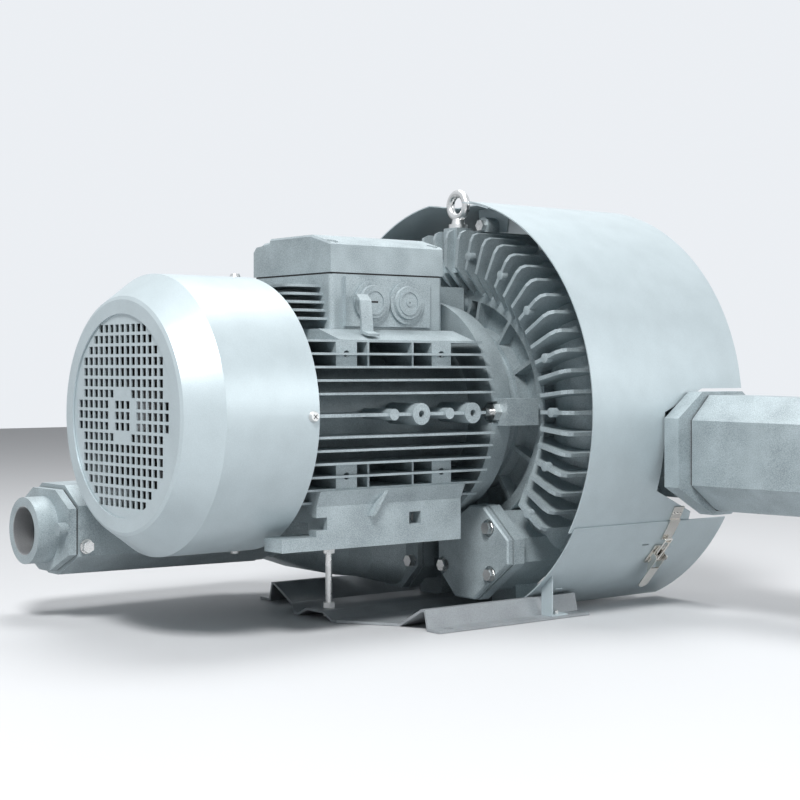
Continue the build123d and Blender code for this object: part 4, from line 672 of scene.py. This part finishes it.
@dataclass
class InletEnd:
    """Small pieces on the inlet's end: a plain lug on each side of the collar, and one bolt."""

    lug_out: float = 56.0 * MM
    lug_rise: float = 5.0 * MM
    lug_r: float = 7.4 * MM
    lug_l: float = 11.0 * MM
    lug_root: float = 3.0 * MM
    flange_face_x: float = -0.413
    bolt_x: float = -0.3925
    bolt_drop: float = 16.0 * MM
    head: HexHead = field(default_factory=HexHead)

    def eye_lug(self, side: int, centre: Vector) -> bpy.types.Object:
        """Models one lug, a plain round boss rooted in the flange.

        Args:
            side: -1 for the near lug and 1 for the far one.
            centre: the collar's middle.

        Returns:
            The settled object.
        """
        long = self.lug_l + self.lug_root
        _clear_selection()
        bpy.ops.mesh.primitive_cylinder_add(vertices=40, radius=self.lug_r, depth=long,
                                            location=(0, 0, long / 2))
        lug = bpy.context.active_object
        _settle(lug)
        at = Vector((self.flange_face_x + self.lug_root, centre.y + side * self.lug_out,
                     centre.z + self.lug_rise))
        _turn_towards(lug, Axis.MINUS_X, at)
        return lug

    def build(self, shop: Paintshop) -> None:
        """Models and mounts the lugs and the bolt.

        Args:
            shop: the paint shop.
        """
        low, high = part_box("inlet_thread_flange")
        centre = (low + high) / 2
        lugs = _join([self.eye_lug(-1, centre), self.eye_lug(1, centre)])
        _finish_piece(shop, lugs, "inlet_eye_lugs", "casting_paint")
        side_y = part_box("inlet_silencer_body")[0].y
        at = Vector((self.bolt_x, side_y, centre.z - self.bolt_drop))
        bolt = self.head.model(at, Axis.MINUS_Y)
        _finish_piece(shop, bolt, "inlet_end_bolt", "zinc")


@dataclass
class EntryDetails:
    """Raised rings round the cable entries, painted slot shade on the left plug, the right plug's
    centre.
    """

    ring_h: float = 1.2 * MM
    ring_span: tuple[float, float] = (0.62, 0.74)
    slot_l: float = 10.0 * MM
    slot_w: float = 2.2 * MM
    slot_t: float = 0.4 * MM
    slot_lift: float = 0.1 * MM
    slot_edge: float = 0.08 * MM
    nub_r: float = 4.2 * MM
    nub_hole: float = 0.3

    def ring(self, at: Vector, inner: float, outer: float) -> bpy.types.Object:
        """Models one raised ring.

        Args:
            at: the middle of its seat.
            inner: its inner radius.
            outer: its outer radius.

        Returns:
            The settled object, closed all round.
        """
        _clear_selection()
        bpy.ops.mesh.primitive_circle_add(vertices=64, radius=outer, fill_type="NOTHING")
        ring = bpy.context.active_object
        bpy.ops.object.mode_set(mode="EDIT")
        bpy.ops.mesh.select_all(action="SELECT")
        bpy.ops.mesh.extrude_region_move()
        bpy.ops.transform.resize(value=(inner / outer, inner / outer, 1.0))
        bpy.ops.mesh.select_all(action="SELECT")
        bpy.ops.mesh.normals_make_consistent(inside=False)
        bpy.ops.object.mode_set(mode="OBJECT")
        wall = ring.modifiers.new("height", "SOLIDIFY")
        wall.thickness = 2 * self.ring_h
        wall.offset = 0.0
        bpy.ops.object.modifier_apply(modifier="height")
        bpy.ops.object.mode_set(mode="EDIT")
        bpy.ops.mesh.select_all(action="SELECT")
        bpy.ops.mesh.normals_make_consistent(inside=False)
        bpy.ops.object.mode_set(mode="OBJECT")
        _turn_towards(ring, Axis.MINUS_Y, at)
        return ring

    def build(self, shop: Paintshop) -> None:
        """Models and mounts the rings, the dark bar that paints the slot's shade, and the centre nub.

        Args:
            shop: the paint shop.
        """
        low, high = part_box("cable_entry_plugs")
        plug_r = (high.z - low.z) / 2
        height = (high.z + low.z) / 2
        left = Vector((low.x + plug_r, low.y, height))
        right = Vector((high.x - plug_r, low.y, height))
        low_r, high_r = (share * plug_r for share in self.ring_span)
        inner = [self.ring(spot, low_r, high_r) for spot in (left, right)]
        inner.append(self.ring(right, self.nub_hole * self.nub_r, self.nub_r))
        _finish_piece(shop, _join(inner), "entry_plug_rings", "casting_paint")
        # A thin black bar on the left plug paints the shade of its slot; no groove is cut.
        _clear_selection()
        bpy.ops.mesh.primitive_cube_add(size=1.0, location=(0, 0, self.slot_lift))
        bar = bpy.context.active_object
        bpy.ops.object.mode_set(mode="EDIT")
        bpy.ops.transform.resize(value=(self.slot_l, self.slot_w, self.slot_t))
        bpy.ops.mesh.bevel(offset=self.slot_edge, segments=2, affect="EDGES")
        bpy.ops.object.mode_set(mode="OBJECT")
        _turn_towards(bar, Axis.MINUS_Y, left)
        _finish_piece(shop, bar, "entry_plug_slot", "gasket")


@dataclass
class FinBosses:
    """Round bosses on the front edges of some casing fins, each with most of its rim rounded."""

    count: int = 57
    every: int = 3
    ring_r: float = 0.197
    face_x: float = 0.039
    boss_r: float = 5.6 * MM
    depth: float = 9.0 * MM
    sink: float = 0.2 * MM
    rim: float = 0.5 * MM
    limit: float = 132.0

    def build(self, shop: Paintshop) -> bpy.types.Object:
        """Models one boss and copies it round the casing.

        Args:
            shop: the paint shop.

        Returns:
            The piece.
        """
        pitch = 360.0 / self.count
        steps = range(self.count // self.every)
        angles = [90.0 - pitch * self.every * step for step in steps]
        bosses = []
        for angle in angles:
            turned = (angle + 180.0) % 360.0 - 180.0
            if abs(turned) > self.limit:
                continue
            turn = math.radians(turned)
            _clear_selection()
            bpy.ops.mesh.primitive_cylinder_add(vertices=24, radius=self.boss_r, depth=self.depth)
            boss = bpy.context.active_object
            bpy.ops.object.mode_set(mode="EDIT")
            bpy.ops.mesh.select_all(action="DESELECT")
            _pick_faces(boss, lambda face: face.normal.z > FACES_UP)
            bpy.ops.mesh.bevel(offset=self.rim, segments=2, affect="EDGES")
            bpy.ops.object.mode_set(mode="OBJECT")
            at = Vector((self.face_x + self.depth / 2 - self.sink, -self.ring_r * math.sin(turn),
                         SHAFT_Z + self.ring_r * math.cos(turn)))
            _turn_towards(boss, Axis.MINUS_X, at)
            bosses.append(boss)
        return _finish_piece(shop, _join(bosses), "fin_bosses", "casting_paint")


@dataclass
class ScrewSlotShade:
    """Thin dark crosses of painted shade laid on the cowl screws' heads, for their recesses."""

    arm: float = 3.2 * MM
    width: float = 1.1 * MM
    flat: float = 0.2

    def build(self, shop: Paintshop) -> bpy.types.Object:
        """Models a cross of two flat black bars on each head, painting the recess's shade.

        Args:
            shop: the paint shop.

        Returns:
            The piece.
        """
        low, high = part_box("cowl_screws")
        screw_x = (low.x + high.x) / 2
        head_r = -low.y
        crosses = []
        for quarter in range(4):
            turn = math.radians(90 * quarter)
            for swing in (0.0, math.pi / 2):
                _clear_selection()
                bpy.ops.mesh.primitive_cylinder_add(vertices=12, radius=self.width / 2,
                                                    depth=2 * self.arm)
                bar = bpy.context.active_object
                bpy.ops.object.mode_set(mode="EDIT")
                bpy.ops.mesh.select_all(action="SELECT")
                bpy.ops.transform.resize(value=(1.0, self.flat, 1.0))
                bpy.ops.object.mode_set(mode="OBJECT")
                spin = Matrix.Rotation(swing + math.pi / 4, 4, "Y")
                out = Matrix.Rotation(turn, 4, "X")
                rise = Matrix.Translation((screw_x, -head_r, 0))
                bar.matrix_world = Matrix.Translation((0, 0, SHAFT_Z)) @ out @ rise @ spin
                _settle(bar)
                crosses.append(bar)
        # the black gasket finish paints the shade in the screws' cross recesses
        return _finish_piece(shop, _join(crosses), "cowl_screw_recesses", "gasket")


# ------------------------------------------------------------------ stage, light and camera
@dataclass(frozen=True)
class Lamp:
    """One square lamp that faces the blower: its place, side and power in watts."""

    name: str
    at: tuple[float, float, float]
    size: float
    power: float


LAMPS = (
    Lamp("key_lamp", (-1.9, -1.7, 3.0), 1.0, 150.0),
    Lamp("fill_lamp", (1.9, -3.2, 1.2), 1.4, 26.0),
    Lamp("top_lamp", (0.5, 0.5, 3.2), 1.6, 62.0),
)


@dataclass
class Studio:
    """Pale floor and backdrop, soft lamps and the camera."""

    camera_at: Vector = field(default_factory=lambda: Vector((-1.3070, -1.6215, 0.2989)))
    look: Vector = field(default_factory=lambda: Vector((0.6186, 0.7857, 0.0)))
    lens: float = 74.907
    shift_y: float = -0.0406
    sensor: float = 36.0
    lamps_face: Vector = field(default_factory=lambda: Vector((0.0, -0.1, 0.2)))
    floor_half: float = 6.0
    floor_drop: float = 0.0005
    floor_colour: tuple[float, float, float, float] = (0.62, 0.63, 0.645, 1.0)
    floor_rough: float = 0.55
    sky_colour: tuple[float, float, float, float] = (0.93, 0.96, 1.0, 1.0)
    world_level: float = 0.10
    shown_level: float = 0.9

    def floor(self) -> None:
        """Lays the floor and marks it as stage."""
        bpy.ops.mesh.primitive_plane_add(size=2 * self.floor_half,
                                         location=(0, 0, -self.floor_drop))
        ground = bpy.context.active_object
        ground.name = "studio_floor"
        material = bpy.data.materials.new("studio_floor_paint")
        material.use_nodes = True
        shader = material.node_tree.nodes["Principled BSDF"]
        shader.inputs["Base Color"].default_value = self.floor_colour
        shader.inputs["Roughness"].default_value = self.floor_rough
        ground.data.materials.append(material)

    def world(self) -> None:
        """Lights the scene evenly, and shows a pale background to camera, gloss and glass."""
        world = bpy.data.worlds.new("studio_world")
        bpy.context.scene.world = world
        world.use_nodes = True
        tree = world.node_tree
        back = tree.nodes["Background"]
        path = tree.nodes.new("ShaderNodeLightPath")
        shiny = _math(tree, "MAXIMUM", path.outputs["Is Glossy Ray"],
                      path.outputs["Is Transmission Ray"])
        seen = _math(tree, "MAXIMUM", path.outputs["Is Camera Ray"], shiny)
        extra = _math(tree, "MULTIPLY", seen, self.shown_level - self.world_level)
        level = _math(tree, "ADD", extra, self.world_level)
        back.inputs["Color"].default_value = self.sky_colour
        tree.links.new(level, back.inputs["Strength"])

    def hang(self, lamp: Lamp) -> None:
        """Hangs one lamp.

        Args:
            lamp: which.
        """
        data = bpy.data.lights.new(lamp.name, "AREA")
        data.shape = "SQUARE"
        data.size = lamp.size
        data.energy = lamp.power
        light = bpy.data.objects.new(lamp.name, data)
        bpy.context.scene.collection.objects.link(light)
        light.location = lamp.at
        beam = self.lamps_face - Vector(lamp.at)
        light.rotation_euler = beam.to_track_quat("-Z", "Y").to_euler()

    def camera(self) -> None:
        """Places the camera."""
        data = bpy.data.cameras.new("studio_camera")
        data.lens = self.lens
        data.sensor_width = self.sensor
        data.shift_y = self.shift_y
        camera = bpy.data.objects.new("studio_camera", data)
        bpy.context.scene.collection.objects.link(camera)
        camera.location = self.camera_at
        camera.rotation_euler = self.look.to_track_quat("-Z", "Y").to_euler()
        bpy.context.scene.camera = camera

    def build(self) -> None:
        """Sets up the whole studio."""
        bpy.context.scene.view_settings.view_transform = "Standard"
        self.floor()
        self.world()
        for lamp in LAMPS:
            self.hang(lamp)
        self.camera()
        log.info("studio ready")


def main() -> None:
    logging.basicConfig(level=logging.INFO, format="%(name)s: %(message)s")
    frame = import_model()
    _clear_selection()
    shop = Paintshop(frame)
    shop.coat_nodes()
    ThreadedCollar("inlet_thread_flange", "inlet_threaded_collar",
                   Axis.MINUS_X).build(shop, frame)
    ThreadedCollar("outlet_thread_flange", "outlet_threaded_collar", Axis.MINUS_Y,
                   setback=13.0 * MM).build(shop, frame)
    RoundedDuct("outlet_silencer_body", "outlet_silencer_rounded",
                "casting_paint").build(shop, frame)
    RoundedDuct("outlet_silencer_gaskets", "outlet_gaskets_rounded", "gasket").build(shop, frame)
    InletEnd().build(shop)
    EntryDetails().build(shop)
    FinBosses().build(shop)
    ScrewSlotShade().build(shop)
    Studio().build()


if __name__ == "__main__":
    main()
